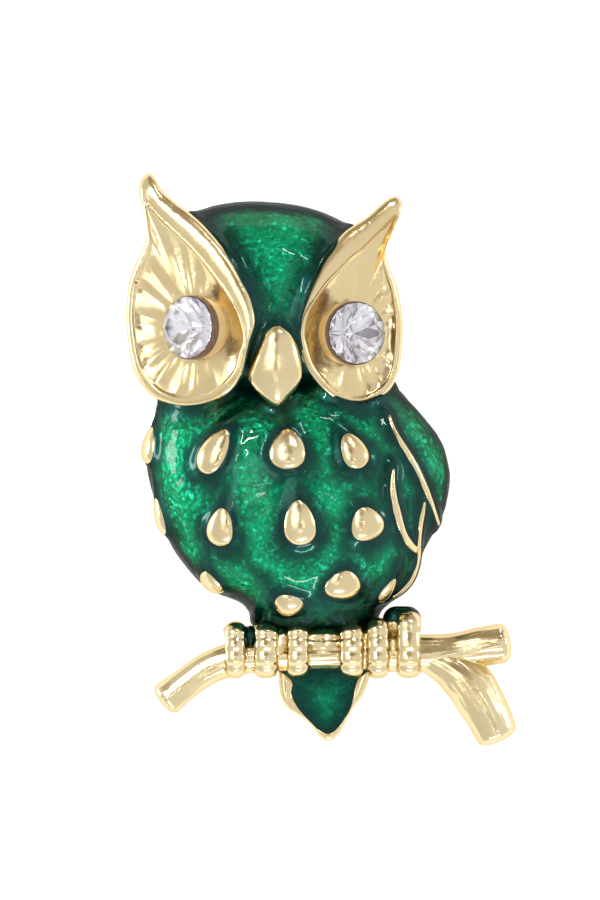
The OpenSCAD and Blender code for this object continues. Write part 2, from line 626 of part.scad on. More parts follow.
// Tail: a plate behind the branch, with a pocket for its enamel
tail_loop = scaled(TAIL, tail_w, tail_h);
tail_field = smooth_loop(scaled(TAIL_FIELD, tail_w, tail_h), loop_steps);

module at_tail(z) {
    translate([tail_at.x, tail_at.y, z]) children();
}

module tail_plate() {
    difference() {
        at_tail(0) linear_extrude(tail_t + 0.3) polygon(smooth_loop(tail_loop, loop_steps));
        at_tail(tail_t - enamel_t) linear_extrude(2 * tail_t) offset(delta = gap) polygon(tail_field);
    }
}

// Shell of the body and the skull, with drops and ribs, open at the back
module shell() {
    difference() {
        union() {
            body_dome(enamel_t);
            head_dome(enamel_t);
            linear_extrude(rim_t) polygon(body_loop);
            translate([head_x, head_y, 0]) linear_extrude(rim_t) polygon(head_loop);
            drops();
            ribs();
        }
        body_dome(enamel_t + wall, body_depth, HOLLOW_LEVELS);
        head_dome(enamel_t + wall, head_depth, HOLLOW_LEVELS);
        dish_room(0);
        dish_room(1);
    }
}

// Two pads inside the shell, on which the pin's bar is seated
pad_w = 3.4;
module pads() {
    intersection() {
        union() {
            body_dome(enamel_t + 0.1);
            head_dome(enamel_t + 0.1);
        }
        for (s = [-1, 1])
            translate([pin_at.x + s * (bar_l - pad_w) / 2 - pad_w / 2, pin_at.y - bar_w / 2 - 0.4, bar_sunk + gap])
                cube([pad_w, bar_w + 0.8, body_depth]);
    }
}

// Bar of the pin, flat with rounded ends
module bar(grow = 0) {
    translate([pin_at.x, pin_at.y, bar_z - grow])
        linear_extrude(bar_t + 2 * grow)
            for (s = [-1, 1])
                union() {
                    translate([s * (bar_l - bar_w) / 2, 0]) circle(d = bar_w + 2 * grow, $fn = 48);
                    square([bar_l - bar_w, bar_w + 2 * grow], center = true);
                }
}

// The two blocks that carry the pin's knuckles below its bar
module saddles(grow = 0) {
    for (s = [-1, 1])
        translate([pin_at.x + s * (bar_l / 2 - 1 - knuckle_l / 2) - knuckle_l / 2 - grow,
                   pin_at.y - 0.35 * knuckle_d - grow, wire_z])
            cube([knuckle_l + 2 * grow, 0.7 * knuckle_d + 2 * grow, wire_off + bar_t / 2]);
}

module casting_flat() {
    difference() {
        union() {
            shell();
            pads();
            dish(0);
            dish(1);
            brow(0);
            brow(1);
            cup(0);
            cup(1);
            beak();
            twig(MAIN_BRANCH);
            twig(LOWER_TWIG);
            toes();
            perch();
            tail_plate();
        }
        stone(0, gap);
        stone(1, gap);
        bar(gap);
        saddles(gap);
        left_foot_cap(gap);
        right_foot_cap(gap);
    }
}

// What both large enamel fields keep clear of on the face
module face_parts() {
    dish_prism(0);
    dish_prism(1);
    brow(0, gap);
    brow(1, gap);
    beak(gap);
}

module behind_rim() {
    translate([0, 0, -body_depth]) linear_extrude(body_depth + rim_t + gap) square(6 * body_w, center = true);
}

module body_enamel_flat() {
    difference() {
        body_dome();
        body_dome(enamel_t - gap);
        head_dome(-gap);
        behind_rim();
        drops(gap);
        ribs(gap);
        face_parts();
        toes(gap);
        perch(gap);
        left_foot_cap(gap);
        right_foot_cap(gap);
        translate([-body_w, branch_at.y - body_h, -1])
            cube([2 * body_w, body_h + branch_d / 2 + gap, 2 * body_depth]);
    }
}

module head_enamel_flat() {
    difference() {
        head_dome();
        head_dome(enamel_t - gap);
        body_dome(enamel_t - gap);
        behind_rim();
        face_parts();
        translate([-2 * head_w, beak_at.y - 2 * head_h, -1])
            cube([4 * head_w, 2 * head_h + 0.1 * beak_h, 2 * head_depth]);
    }
}

module tail_enamel_flat() {
    difference() {
        at_tail(tail_t - enamel_t + gap) linear_extrude(enamel_t + 0.15) polygon(tail_field);
        twig(MAIN_BRANCH, gap);
        for (row = [TOES[2], TOES[3]])
            toe(row, gap);
    }
}

// Enamel cap in a pocket over a foot's toes: the upper part of a round bar with round ends
module foot_enamel(from, to, up, low, out, r, grow) {
    cut = branch_at.y + low - grow;
    sides = grow > 0 ? 16 : 64;
    difference() {
        translate([from, branch_at.y + up, branch_z + out])
            rotate([0, 90, 0]) {
                cylinder(h = to - from, r = r + grow, $fn = sides);
                sphere(r + grow, $fn = sides);
                translate([0, 0, to - from]) sphere(r + grow, $fn = sides);
            }
        translate([from - 3 * r, cut - 4 * r, branch_z - 3 * r])
            cube([to - from + 6 * r, 4 * r, 8 * r]);
    }
}

module left_foot_cap(grow = 0) {
    foot_enamel((TOES[0][0] + 0.01) * body_w, (TOES[1][0] - 0.01) * body_w, 0.52 * branch_d,
                0.50 * branch_d, 0.20 * branch_d, 0.28 * branch_d, grow);
}

module right_foot_cap(grow = 0) {
    foot_enamel(HEEL[0] * body_w, HEEL[1] * body_w, (HEEL[2] + 0.065) * branch_d,
                (HEEL[2] + 0.05) * branch_d, 0, 1.06 * HEEL[3] * branch_d, grow);
}

// Pin finding in one piece: bar, hinge barrel, wire and catch
module pin_flat() {
    bar();
    translate([pin_at.x, pin_at.y, wire_z]) rotate([0, 90, 0]) {
        translate([0, 0, -(bar_l - 1) / 2]) cylinder(h = bar_l - 1, d = wire_d, $fn = 24);
        for (s = [-1, 1])
            translate([0, 0, s * (bar_l / 2 - 1 - knuckle_l / 2) - knuckle_l / 2])
                cylinder(h = knuckle_l, d = knuckle_d, $fn = 48);
    }
    saddles();
}

// The brooch lies on the hinge, the catch and the tip of the tail. The floor touches the
// knuckles below and the tip's back edge, which gives the tilt.
tail_tip = [tail_at.x + 0.02 * tail_w, tail_at.y - tail_h];
stance = pin_at.y - tail_tip.y;
rest_tilt = atan2(-wire_z, stance) + asin(knuckle_d / 2 / norm([stance, wire_z]));

// Points that reach farthest to each side, to centre the brooch on its own box
function out_from(side, p) = [stone_at[side].x + (side == 0 ? -p.x : p.x), stone_at[side].y + p.y, dish_z(side) + p.z];
FAR = concat(
    [for (side = [0, 1]) for (ring = dish_rings(side)) for (p = ring) out_from(side, p)],
    [for (rows = [MAIN_BRANCH, LOWER_TWIG]) let (path = branch_path(rows))
        for (i = [0:len(path) - 1]) for (s = [-1, 1])
            let (q = [path[i][0], path[i][1], branch_z],
                 on = tangent([for (p = path) [p[0], p[1], branch_z]], i))
            q + s * path[i][2] * cross([0, 0, 1], on)],
    [for (p = body_loop) [p.x, p.y, rim_t]],
    [[tail_tip.x, tail_tip.y, 0]]);
LAID = [for (p = FAR) [p.x, (p.y - tail_tip.y) * cos(rest_tilt) - p.z * sin(rest_tilt)]];
centre = [for (i = [0, 1]) (min([for (p = LAID) p[i]]) + max([for (p = LAID) p[i]])) / 2];

module laid() {
    translate([-centre.x, -centre.y, 0])
        rotate([rest_tilt, 0, 0])
            translate([0, -tail_tip.y, 0])
                children();
}

module casting() { color(gilt) laid() casting_flat(); }
module body_enamel() { color(green) laid() body_enamel_flat(); }
module head_enamel() { color(green) laid() head_enamel_flat(); }
module tail_enamel() { color(green) laid() tail_enamel_flat(); }
module left_foot_enamel() { color(dark_green) laid() left_foot_cap(); }
module right_foot_enamel() { color(dark_green) laid() right_foot_cap(); }
module left_eye_stone() { color(crystal) laid() stone(0); }
module right_eye_stone() { color(crystal) laid() stone(1); }
module brooch_pin() { color(gilt) laid() pin_flat(); }

casting();
body_enamel();
head_enamel();
tail_enamel();
left_foot_enamel();
right_foot_enamel();
left_eye_stone();
right_eye_stone();
brooch_pin();
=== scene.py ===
# %% [markdown]
# # Owl brooch on a branch
#
# The real thing is one gilded casting, about 44 mm tall and open at the back. Wet-looking green
# enamel fills the fields between its raised parts, and two cut stones are its eyes. The solids
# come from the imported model. This lesson dresses them: the casting and the enamel are built
# again with many more points, from the same outlines, and every surface gets its finish.

import math

import bpy
import numpy as np
from mathutils import Matrix, Vector
from mathutils.kdtree import KDTree


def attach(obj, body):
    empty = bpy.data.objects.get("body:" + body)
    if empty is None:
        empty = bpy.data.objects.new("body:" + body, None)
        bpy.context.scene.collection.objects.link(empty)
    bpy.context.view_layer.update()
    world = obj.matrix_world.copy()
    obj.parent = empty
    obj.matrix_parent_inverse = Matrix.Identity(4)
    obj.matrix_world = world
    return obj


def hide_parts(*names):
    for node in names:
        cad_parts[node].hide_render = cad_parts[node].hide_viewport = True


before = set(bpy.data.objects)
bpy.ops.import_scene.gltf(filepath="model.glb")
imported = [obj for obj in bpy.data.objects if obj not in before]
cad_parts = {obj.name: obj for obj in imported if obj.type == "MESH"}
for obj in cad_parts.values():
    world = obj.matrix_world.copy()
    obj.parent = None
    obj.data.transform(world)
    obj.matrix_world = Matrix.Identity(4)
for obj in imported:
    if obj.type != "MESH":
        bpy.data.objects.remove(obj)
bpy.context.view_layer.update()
print("solids:", ", ".join(sorted(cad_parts)))

# %% [markdown]
# ## Flat millimetres
#
# It is easiest to model the face as it was carved: flat, in millimetres, with x to the right,
# y towards the ears and z out of the face. The brooch lies on its pin and on the tip of its
# tail, so the flat drawing is then tilted back a little and centred. One function does that
# for every point, and the finished objects stay at the origin.

# %% From the flat drawing to its place on the table
MM = 0.001
TILT = math.radians(6.11925)
TAIL_TIP_Y = -18.776
CENTRE = (1.83283, 21.2318)


def lay_way(ways):
    """Directions on the flat drawing to directions in the frame."""
    w = np.asarray(ways, float).reshape(-1, 3)
    return np.c_[w[:, 0], w[:, 1] * math.cos(TILT) - w[:, 2] * math.sin(TILT),
                 w[:, 1] * math.sin(TILT) + w[:, 2] * math.cos(TILT)]


def lay(points):
    """Flat millimetres to metres in the frame."""
    p = np.asarray(points, float).reshape(-1, 3) - [0, TAIL_TIP_Y, 0]
    return MM * (lay_way(p) - [*CENTRE, 0])


# %% [markdown]
# ## Meshes from rings
#
# Nearly every form here is a skin over a stack of closed rings, with one point at each end.
# Such a skin is closed by construction, which a boolean needs, and its faces point outwards
# when the rings run counter-clockwise as seen from the last one.

# %% Mesh helpers
def new_piece(name, verts, faces, laid=True):
    """An object from flat points and faces, with smooth faces."""
    mesh = bpy.data.meshes.new(name)
    co = lay(verts) if laid else np.asarray(verts, float)
    mesh.from_pydata(co.tolist(), [], [tuple(int(i) for i in f) for f in faces])
    mesh.polygons.foreach_set("use_smooth", [True] * len(mesh.polygons))
    mesh.update()
    obj = bpy.data.objects.new(name, mesh)
    bpy.context.scene.collection.objects.link(obj)
    return obj


def keep(obj, word, values, domain="POINT"):
    """Keeps numbers or vectors as an attribute of a piece; one number is kept for every point."""
    values = np.asarray(values, np.float32)
    if values.ndim == 0:
        values = np.full(len(obj.data.vertices), values)
    kind, field = ("FLOAT", "value") if values.ndim == 1 else ("FLOAT_VECTOR", "vector")
    obj.data.attributes.new(word, kind, domain).data.foreach_set(field, values.ravel())


def level(loop, z):
    """A flat loop at one height."""
    return np.c_[loop, np.full(len(loop), float(z))]


def shrunk(loop, less):
    """A loop about its own middle, moved in by less all round."""
    return loop * (1 - less / np.linalg.norm(loop, axis=1, keepdims=True))


def skin(first, rings, last):
    """Points and faces of a closed skin over rings of equal length."""
    rings = np.asarray(rings, float)
    m, n = rings.shape[:2]
    verts = np.vstack([[first], rings.reshape(-1, 3), [last]])
    j = np.arange(n)
    k = (j + 1) % n
    faces = [np.c_[np.zeros(n, int), 1 + k, 1 + j]]
    for i in range(m - 1):
        a, b = 1 + i * n + j, 1 + i * n + k
        faces.append(np.c_[a, b, b + n, a + n])
    top = 1 + (m - 1) * n
    faces.append(np.c_[np.full(n, 1 + m * n), top + j, top + k])
    return verts, [tuple(f) for rows in faces for f in rows]


def blend(a, b, c, d, f):
    """The smooth curve from b to c at the share f of the way; a and d are their neighbours."""
    return 0.5 * (2 * b + (c - a) * f + (2 * a - 5 * b + 4 * c - d) * f * f
                  + (3 * b - a - 3 * c + d) * f ** 3)


def smooth_loop(rows, steps):
    """A closed smooth curve through the rows of a table."""
    p = np.asarray(rows, float)
    near = np.roll(p, 1, 0), p, np.roll(p, -1, 0), np.roll(p, -2, 0)
    return np.stack([blend(*near, s / steps) for s in range(steps)], 1).reshape(-1, p.shape[1])


def smooth_path(rows, steps):
    """An open smooth curve through the rows of a table."""
    p = np.asarray(rows, float)
    p = np.vstack([2 * p[0] - p[1], p, 2 * p[-1] - p[-2]])
    return np.array([blend(*p[i - 1:i + 3], s / steps)
                     for i in range(1, len(p) - 2) for s in range(steps)] + [p[-2]])


def unit(v):
    v = np.asarray(v, float)
    return v / np.maximum(np.linalg.norm(v, axis=-1, keepdims=True), 1e-12)


def fused(name, first, others, operation="UNION"):
    """One mesh from a closed mesh and others, joined or cut by Blender's Boolean."""
    for other in others:
        mod = first.modifiers.new("with " + other.name, "BOOLEAN")
        mod.operation, mod.object, mod.solver = operation, other, "MANIFOLD"
        bpy.context.view_layer.update()
        result = first.evaluated_get(bpy.context.evaluated_depsgraph_get())
        mesh = bpy.data.meshes.new_from_object(result)
        first.modifiers.clear()
        if len(mesh.polygons) == 0:
            print("  the cut with", other.name, "gave nothing, so it is left out")
            continue
        first.data = mesh
    first.name = first.data.name = name
    for other in others:
        bpy.data.objects.remove(other)
    return first


def report(obj):
    """Prints what was made: triangles, and edges that don't join two faces."""
    mesh = obj.data
    mesh.calc_loop_triangles()
    use = np.zeros(len(mesh.edges), int)
    index = np.zeros(len(mesh.loops), np.int32)
    mesh.loops.foreach_get("edge_index", index)
    np.add.at(use, index, 1)
    print(f"{obj.name}: {len(mesh.loop_triangles)} triangles, {(use != 2).sum()} open edges")


# %% [markdown]
# ## Sizes and outlines
#
# The tables hold shares of a few real sizes, as on a drawing, and most are written in
# thousandths. They are the same numbers that made the solids, so the dressed surface lies on
# them.

# %% Sizes in millimetres
BODY_W, BODY_H, BODY_DEPTH = 23.7, 21.4, 7.6
HEAD_W, HEAD_H, HEAD_DEPTH, HEAD_LEAN = 20.2, 15.9, 7.2, 2.5
NECK_OVERLAP = 3.7
WALL, ENAMEL_T, RIM_T = 1.0, 0.5, 0.8
DISH_SIZE = [(10.0, 17.8), (8.1, 16.1)]
DISH_TILT, DISH_T, DISH_HOLLOW, DISH_LIFT = math.radians(24), 1.9, 0.7, 0.2
STONE_D, TABLE_D, CROWN_H, PAVILION_H, GIRDLE_T = 4.7, 2.7, 0.95, 1.75, 0.15
STONE_LIFT, STONE_TILT = 1.1, [math.radians(38), math.radians(26)]
BEAK_W, BEAK_H = 4.1, 6.2
DROP_W, DROP_RISE = 2.6, 0.6
RIB_W, RIB_RISE = 0.8, 0.18
BRANCH_L, BRANCH_D, BRANCH_Z = 27.7, 2.8, 2.1
TOE_W, TOE_T = 1.5, 0.55
TAIL_W, TAIL_H, TAIL_T = 6.9, 6.9, 1.9
PIN_UP, BAR_L, BAR_W, BAR_SUNK = 7.4, 15.6, 3.2, 1.2
GAP = 0.04
DOME_POWER, HEAD_POWER = 2.3, 2.2

# %% Outlines, in thousandths of the sizes above
def thousandths(text):
    """The rows of a table, parted by commas and written in thousandths."""
    return np.array([row.split() for row in text.split(",")], float) / 1000


# Outline of the body: across, up
BODY = thousandths("""
    497 68, 486 145, 468 199, 435 254, 371 335, 314 397, 160 478, 0 490, -216 479, -385 418,
    -453 329, -476 261, -491 186, -492 125, -480 61, -463 -11, -449 -78, -423 -145, -378 -225,
    -323 -297, -268 -342, -190 -375, -158 -408, -145 -450, -94 -486, 0 -500, 155 -500, 232 -465,
    274 -410, 307 -378, 345 -351, 371 -323, 390 -288, 400 -250, 410 -198, 438 -142, 466 -86,
    486 -20""")
# The dishes about their stones: outline outwards and up, then crest outwards and up
LEFT_DISH = thousandths("""
    474 56 444 56, 459 172 425 168, 421 249 382 241, 360 327 325 318, 317 391 298 378,
    321 447 310 438, 348 511 324 500, 375 580 329 525, 371 623 321 538, 345 651 304 533,
    298 666 282 516, 252 647 243 492, 195 593 191 460, 92 537 115 421, -8 496 23 374,
    -122 438 -69 318, -237 365 -153 262, -344 284 -245 193, -421 202 -321 129, -486 114 -382 69,
    -516 20 -432 -14, -478 -55 -436 -78, -451 -115 -409 -120, -413 -202 -375 -189,
    -337 -271 -291 -245, -222 -309 -199 -286, -92 -331 -76 -307, 38 -335 31 -312,
    153 -322 130 -301, 275 -292 237 -271, 367 -234 325 -219, 428 -159 390 -150, 462 -47 428 -43""")
RIGHT_DISH = thousandths("""
    434 17 392 17, 425 102 383 102, 387 216 345 211, 326 297 293 287, 279 363 260 349,
    279 411 270 400, 321 463 305 457, 378 525 358 518, 425 590 388 555, 425 634 388 568,
    378 655 365 562, 302 644 321 540, 208 606 255 506, 94 554 151 454, -9 520 57 406,
    -123 478 -57 359, -246 406 -179 297, -359 330 -293 235, -444 235 -397 159, -510 135 -468 97,
    -548 55 -505 36, -550 -17 -515 -21, -519 -97 -482 -88, -463 -178 -430 -159,
    -359 -249 -331 -226, -236 -306 -217 -280, -104 -337 -94 -311, 47 -344 43 -318,
    189 -318 165 -295, 302 -273 269 -254, 373 -211 335 -200, 416 -126 373 -119""")
# The beak's outline: across, up
BEAK = thousandths("""
    489 -119, 472 71, 383 285, 230 435, 28 500, -159 440, -285 270, -410 80, -500 -85, -448 -229,
    -215 -400, 52 -500, 262 -366, 420 -240""")
# Drops, as shares: across, up, width, length, and lean in degrees
DROPS = [
    [-0.474, 0.186, 0.85, 1.05, 0], [-0.264, 0.165, 0.90, 1.38, 30],
    [-0.030, 0.172, 1.08, 1.18, 0], [0.180, 0.166, 0.85, 1.10, -22],
    [-0.440, -0.062, 0.70, 1.15, 12], [-0.244, -0.104, 0.88, 1.12, 15],
    [0.008, -0.088, 0.98, 1.30, -6], [0.222, -0.092, 1.06, 1.00, -25],
    [-0.276, -0.300, 0.85, 0.90, 20], [0.148, -0.308, 1.10, 0.92, 0],
    [0.288, -0.330, 0.50, 0.95, 5], [-0.030, -0.378, 0.90, 0.82, -35],
]
# Ribs of the wing: across, up, width
OUTER_RIB = thousandths("""
    289 296 320, 309 235 700, 337 182 890, 373 117 960, 403 48 960, 425 -12 830, 441 -62 640,
    454 -102 450""")
INNER_RIB = thousandths("""
    307 106 380, 304 56 700, 308 2 960, 319 -56 1100, 334 -117 1210, 360 -168 1150, 385 -192 890""")
FORKED_RIB = thousandths("""
    405 -12 380, 400 -54 770, 393 -100 830, 388 -157 890, 386 -211 1020, 378 -257 1020,
    362 -298 960, 334 -332 830, 300 -357 570""")
# Branch and twig about the branch's middle: across, up, radius
MAIN_BRANCH = thousandths("""
    -464 -128 480, -425 -98 440, -359 -50 440, -287 -23 460, -185 -7 480, -47 0 510, 83 -1 510,
    193 -6 520, 262 -4 510, 331 3 480, 400 13 530, 461 23 550""")
LOWER_TWIG = thousandths("""
    240 -10 400, 282 -26 470, 334 -54 600, 376 -95 660, 405 -144 650, 428 -184 620, 446 -224 580""")
# Toes, as shares: across, width, extra height of the upper knuckle
TOES = [
    [-0.200, 1.05, 0.02], [-0.101, 1.20, 0.00], [0.003, 1.10, 0.00], [0.176, 1.20, 0.00],
    [0.262, 1.10, 0.12], [0.361, 1.20, 0.30],
]
# Tail and the field of its enamel: across, down
TAIL = thousandths("""
    493 0, 504 -204, 450 -392, 400 -502, 316 -613, 237 -754, 150 -911, 28 -1000, -83 -933,
    -185 -800, -325 -699, -432 -624, -509 -480, -526 -204, -505 0""")
TAIL_FIELD = thousandths("""
    455 -180, 430 -245, 362 -300, 331 -385, 310 -500, 291 -580, 262 -660, 198 -762, 116 -868,
    15 -915, -85 -870, -168 -790, -250 -705, -330 -600, -385 -480, -375 -345, -430 -275,
    -480 -180""")
# The thick knuckle: from, to across; height and radius as shares of the branch
HEEL = [0.322, 0.358, 0.80, 0.36]

# %% [markdown]
# ## The two domes
#
# The body and the skull are domes over an outline. Near the foot a dome follows the outline,
# and further in it turns into a plain oval, so the belly is smooth. Other parts need to know
# how high the dome is at any point, so the same rule is also written as a height.

# %% Domes and their heights
body_loop = BODY * (BODY_W, BODY_H)
body_belly = (0.455 * BODY_W, 0.485 * BODY_H)
head_at = np.array([-0.116 * BODY_W, body_loop[:, 1].max() + HEAD_H / 2 - NECK_OVERLAP])
turn = np.radians(np.arange(0, 360, 10))


def squarish(wave):
    """A cosine or a sine, drawn out so that the oval it makes is squarer."""
    return np.sign(wave) * np.abs(wave) ** (2 / HEAD_POWER)


flat_head = np.c_[HEAD_W / 2 * squarish(np.cos(turn)), HEAD_H / 2 * squarish(np.sin(turn))]
lean = math.radians(HEAD_LEAN)
head_loop = np.c_[flat_head[:, 0] * math.cos(lean) + flat_head[:, 1] * math.sin(lean),
                  flat_head[:, 1] * math.cos(lean) - flat_head[:, 0] * math.sin(lean)]
head_belly = (HEAD_W / 2, HEAD_H / 2)


def dome_share(s):
    return np.sqrt(np.clip(1 - np.clip(s, 0, 1) ** DOME_POWER, 0, 1))


def reach(loop, p):
    """Distance from a loop's middle to the loop, in the direction of each point."""
    a = np.arctan2(loop[:, 1], loop[:, 0])
    order = np.argsort(a)
    return np.interp(np.arctan2(p[:, 1], p[:, 0]), a[order],
                     np.linalg.norm(loop, axis=1)[order], period=2 * math.pi)


def oval(belly, p):
    """Distance from the middle to an oval, in the direction of each point."""
    q = p / np.maximum(np.linalg.norm(p, axis=1, keepdims=True), 1e-9)
    return 1 / np.hypot(q[:, 0] / belly[0], q[:, 1] / belly[1])


def dome_z(loop, belly, depth, p):
    """Height of a dome at points, and 0 outside it."""
    p = np.asarray(p, float).reshape(-1, 2)
    edge, plain, r = reach(loop, p), oval(belly, p), np.linalg.norm(p, axis=1)
    s = np.ones(len(p))
    for _ in range(8):
        s = r / (edge * s * s + plain * (1 - s * s))
    return depth * dome_share(s)


def body_z(p):
    return dome_z(fine_body, body_belly, BODY_DEPTH, p)


def head_z(p):
    return dome_z(fine_head, head_belly, HEAD_DEPTH, np.asarray(p).reshape(-1, 2) - head_at)


def on_dome(flat, height):
    """Points of the drawing's plane, carried up to a dome."""
    return np.c_[flat, height(flat)]


def body_normal(p):
    p = np.asarray(p, float).reshape(-1, 2)
    d = 0.15
    zx = (body_z(p + [d, 0]) - body_z(p - [d, 0])) / (2 * d)
    zy = (body_z(p + [0, d]) - body_z(p - [0, d])) / (2 * d)
    return unit(np.c_[-zx, -zy, np.ones(len(p))])


fine_body = smooth_loop(body_loop, 6)
fine_head = smooth_loop(head_loop, 6)


def dome_rings(loop, belly, depth, levels, less=0.0):
    """Rings of a dome that is smaller by less all round, one for each level."""
    loop = shrunk(loop, less)
    edge = np.linalg.norm(loop, axis=1)
    plain = oval((belly[0] - less, belly[1] - less), loop)
    way = loop / edge[:, None]
    return [level(way * (s * (edge * s * s + plain * (1 - s * s)))[:, None],
                  (depth - less) * float(dome_share(s))) for s in levels]


def even_levels(count, first=1.0, last=0.02):
    """Levels from a dome's foot inwards, closer together where it is steep."""
    t = np.linspace(0, 1, count)
    return first - (first - last) * t ** 1.7


def moved(rings, at):
    return [r + [at[0], at[1], 0] for r in rings]


def foot_share(foot, depth):
    """The level at which a dome of this depth has the height foot."""
    return float((1 - (foot / depth) ** 2) ** (1 / DOME_POWER))


def dome(name, loop, belly, depth, at, less=0.0, sink=0.0, count=16):
    """A solid dome. Its foot is carried down to -sink."""
    rings = dome_rings(loop, belly, depth, even_levels(count), less)
    if sink > 0:
        rings = [level(rings[0][:, :2], -sink)] + rings
    rings = moved(rings, at)
    low = [*at, -sink if sink > 0 else rings[0][0, 2]]
    return new_piece(name, *skin(low, rings, [*at, depth - less]))


BODY_DOME = (fine_body, body_belly, BODY_DEPTH, (0, 0))
HEAD_DOME = (fine_head, head_belly, HEAD_DEPTH, head_at)
print("body and skull:", BODY_W, "x", BODY_H, "and", HEAD_W, "x", HEAD_H, "mm")

# %% Where the other parts lie
stone_at = [head_at + [-0.277 * HEAD_W, -0.114 * HEAD_H],
            head_at + [0.363 * HEAD_W, -0.140 * HEAD_H]]
dish_level = [float(head_z(p)[0]) + DISH_LIFT for p in stone_at]
beak_at = head_at + [0.055 * HEAD_W, -0.300 * HEAD_H]
body_bottom = body_loop[:, 1].min()
branch_at = np.array([0.123 * BODY_W, body_bottom - 0.42 * BRANCH_D])
tail_at = np.array([0.094 * BODY_W, branch_at[1]])
pin_x = -0.035 * BODY_W
print("stones at", np.round(stone_at, 2).tolist(), "beak at", np.round(beak_at, 2).tolist())

# %% [markdown]
# ## The shell
#
# The casting is hollow behind, as such pieces are: it saves metal and weight. The shell is the
# two domes less the two hollows, with a plain rim, and two pads inside that the pin's bar is
# soldered to. Booleans suit this, because each part is a closed form and the metal is one.

# %% Shell with its hollow back
def box_piece(name, low, high):
    x, y, z = zip(low, high)
    verts = [(a, b, c) for a in x for b in y for c in z]
    faces = [(0, 1, 3, 2), (4, 6, 7, 5), (0, 4, 5, 1), (2, 3, 7, 6), (0, 2, 6, 4), (1, 5, 7, 3)]
    return new_piece(name, verts, faces)


def prism(name, loop, low, high):
    """A flat outline carried from low to high. Its loop runs counter-clockwise."""
    mid = loop.mean(0)
    return new_piece(name, *skin([*mid, low], [level(loop, low), level(loop, high)], [*mid, high]))


OUTWARDS = (-1, 1)


def dish_frame(side, points):
    """From a dish's own frame, x outwards from the beak, to the flat drawing."""
    p = np.array(points, float)
    p[..., 0] *= OUTWARDS[side]
    return p + [*stone_at[side], dish_level[side]]


DISH_STEPS = 6
ROOM_INSET = 0.35
dish_rows = [smooth_loop(rows * (w, h, w, h), DISH_STEPS)
             for rows, (w, h) in zip((LEFT_DISH, RIGHT_DISH), DISH_SIZE)]


def dish_plane(x):
    return -x * math.tan(DISH_TILT)


def counter_clockwise(loop):
    x, y = loop[:, 0], loop[:, 1]
    return loop if (x * np.roll(y, -1) - np.roll(x, -1) * y).sum() > 0 else loop[::-1]


def dish_outline(side, inset=0.0):
    """A dish's outline on the flat drawing, moved in by inset."""
    return dish_frame(side, level(shrunk(dish_rows[side][:, :2], inset), 0))[:, :2]


def dish_skin(name, side, rings, *ends):
    """A skin over rings in a dish's own frame. The left frame is mirrored, so its rings turn."""
    rings, ends = dish_frame(side, np.stack(rings)), dish_frame(side, ends)
    return new_piece(name, *skin(ends[0], rings[:, ::OUTWARDS[side]], ends[1]))


def dish_room(side):
    """The room in front of a dish, where the skull behind it is cut away."""
    loop = shrunk(dish_rows[side][:, :2], ROOM_INSET)
    rings = [np.c_[loop, dish_plane(loop[:, 0]) - DISH_T / 2], level(loop, HEAD_DEPTH)]
    return dish_skin(f"front{side}", side, rings, [0, 0, -DISH_T / 2], [0, 0, HEAD_DEPTH])


shell = fused("shell", dome("body", *BODY_DOME, less=ENAMEL_T, count=20), [
    dome("skull", *HEAD_DOME, less=ENAMEL_T, count=20),
    prism("body_rim", fine_body, 0, RIM_T),
    prism("skull_rim", fine_head + head_at, 0, RIM_T)])
shell = fused("shell", shell, [
    dome("body_hollow", *BODY_DOME, less=ENAMEL_T + WALL, sink=8, count=18),
    dome("skull_hollow", *HEAD_DOME, less=ENAMEL_T + WALL, sink=8, count=18),
    dish_room(0), dish_room(1)], "DIFFERENCE")
report(shell)

# %% [markdown]
# ## Eye dishes
#
# Each dish is a petal-shaped bowl round its stone, drawn up into an ear. Its brow is a smooth
# rounded band that ends in a fine bright bead along the crest, and shallow feather grooves run
# down its floor. A skin over rings gives all of it: from the back, round the edge, over the
# band and the bead, and down to the seat. The grooves are a ripple on the floor's rings, at
# angles drawn from a fixed seed, because a chaser cuts them by eye and not with a divider.

# %% Dishes with brow, bead and feather grooves
SEAT_ROOM, EDGE_T = 0.15, 0.3 * DISH_T
GROOVES = [19, 17]
GROOVE_DEPTH = [0.15, 0.13]
GROOVE_LEVELS = 26
CREST_LIP, RIM_LIP = 0.2, 0.35
BOWL_START, PETAL_SWELL, PETAL_REACH = 0.16, 0.05, 0.16
# Share of the way from rim to crest, and how far below the crest's level
BAND = [(0.0, 0.98), (0.02, 0.86), (0.07, 0.70), (0.15, 0.52), (0.27, 0.35), (0.42, 0.21),
        (0.58, 0.115), (0.72, 0.07), (0.80, 0.075)]
# The fine crease and the bead on the crest in mm, whatever the band's width: outwards, down
BEAD = [(0.17, 0.075), (0.12, 0.10), (0.07, 0.03), (0.0, -0.015), (-0.07, 0.0), (-0.13, 0.06),
        (-0.18, 0.16)]
# The most of a narrow band that the bead may take, and the width from which it has its height
BEAD_SHARE, FULL_BEAD = 0.45, 1.3
# Shares of the way to the seat over which the grooves fade in and out
FADE_IN, FADE_OUT = 0.22, 0.18


def grooves(side, angle, seed):
    """Depth of the feather grooves at each angle round a stone, and the angle to the nearest."""
    rng = np.random.default_rng(seed)
    n = GROOVES[side]
    at = (np.arange(n) + rng.uniform(-0.28, 0.28, n)) * 2 * math.pi / n
    width = rng.uniform(0.045, 0.085, n)
    depth = rng.uniform(0.45, 1.0, n)
    off = (angle[:, None] - at[None] + math.pi) % (2 * math.pi) - math.pi
    return (depth * np.exp(-np.abs(off / width) ** 1.3)).max(1), np.abs(off).min(1)


def mix(a, b, f):
    return a * (1 - f) + b * f


def dish_ring(p, drop):
    """Points over the drawing's plane, carried to the dish's plane and down by drop."""
    return np.c_[p, dish_plane(p[:, 0]) - drop]


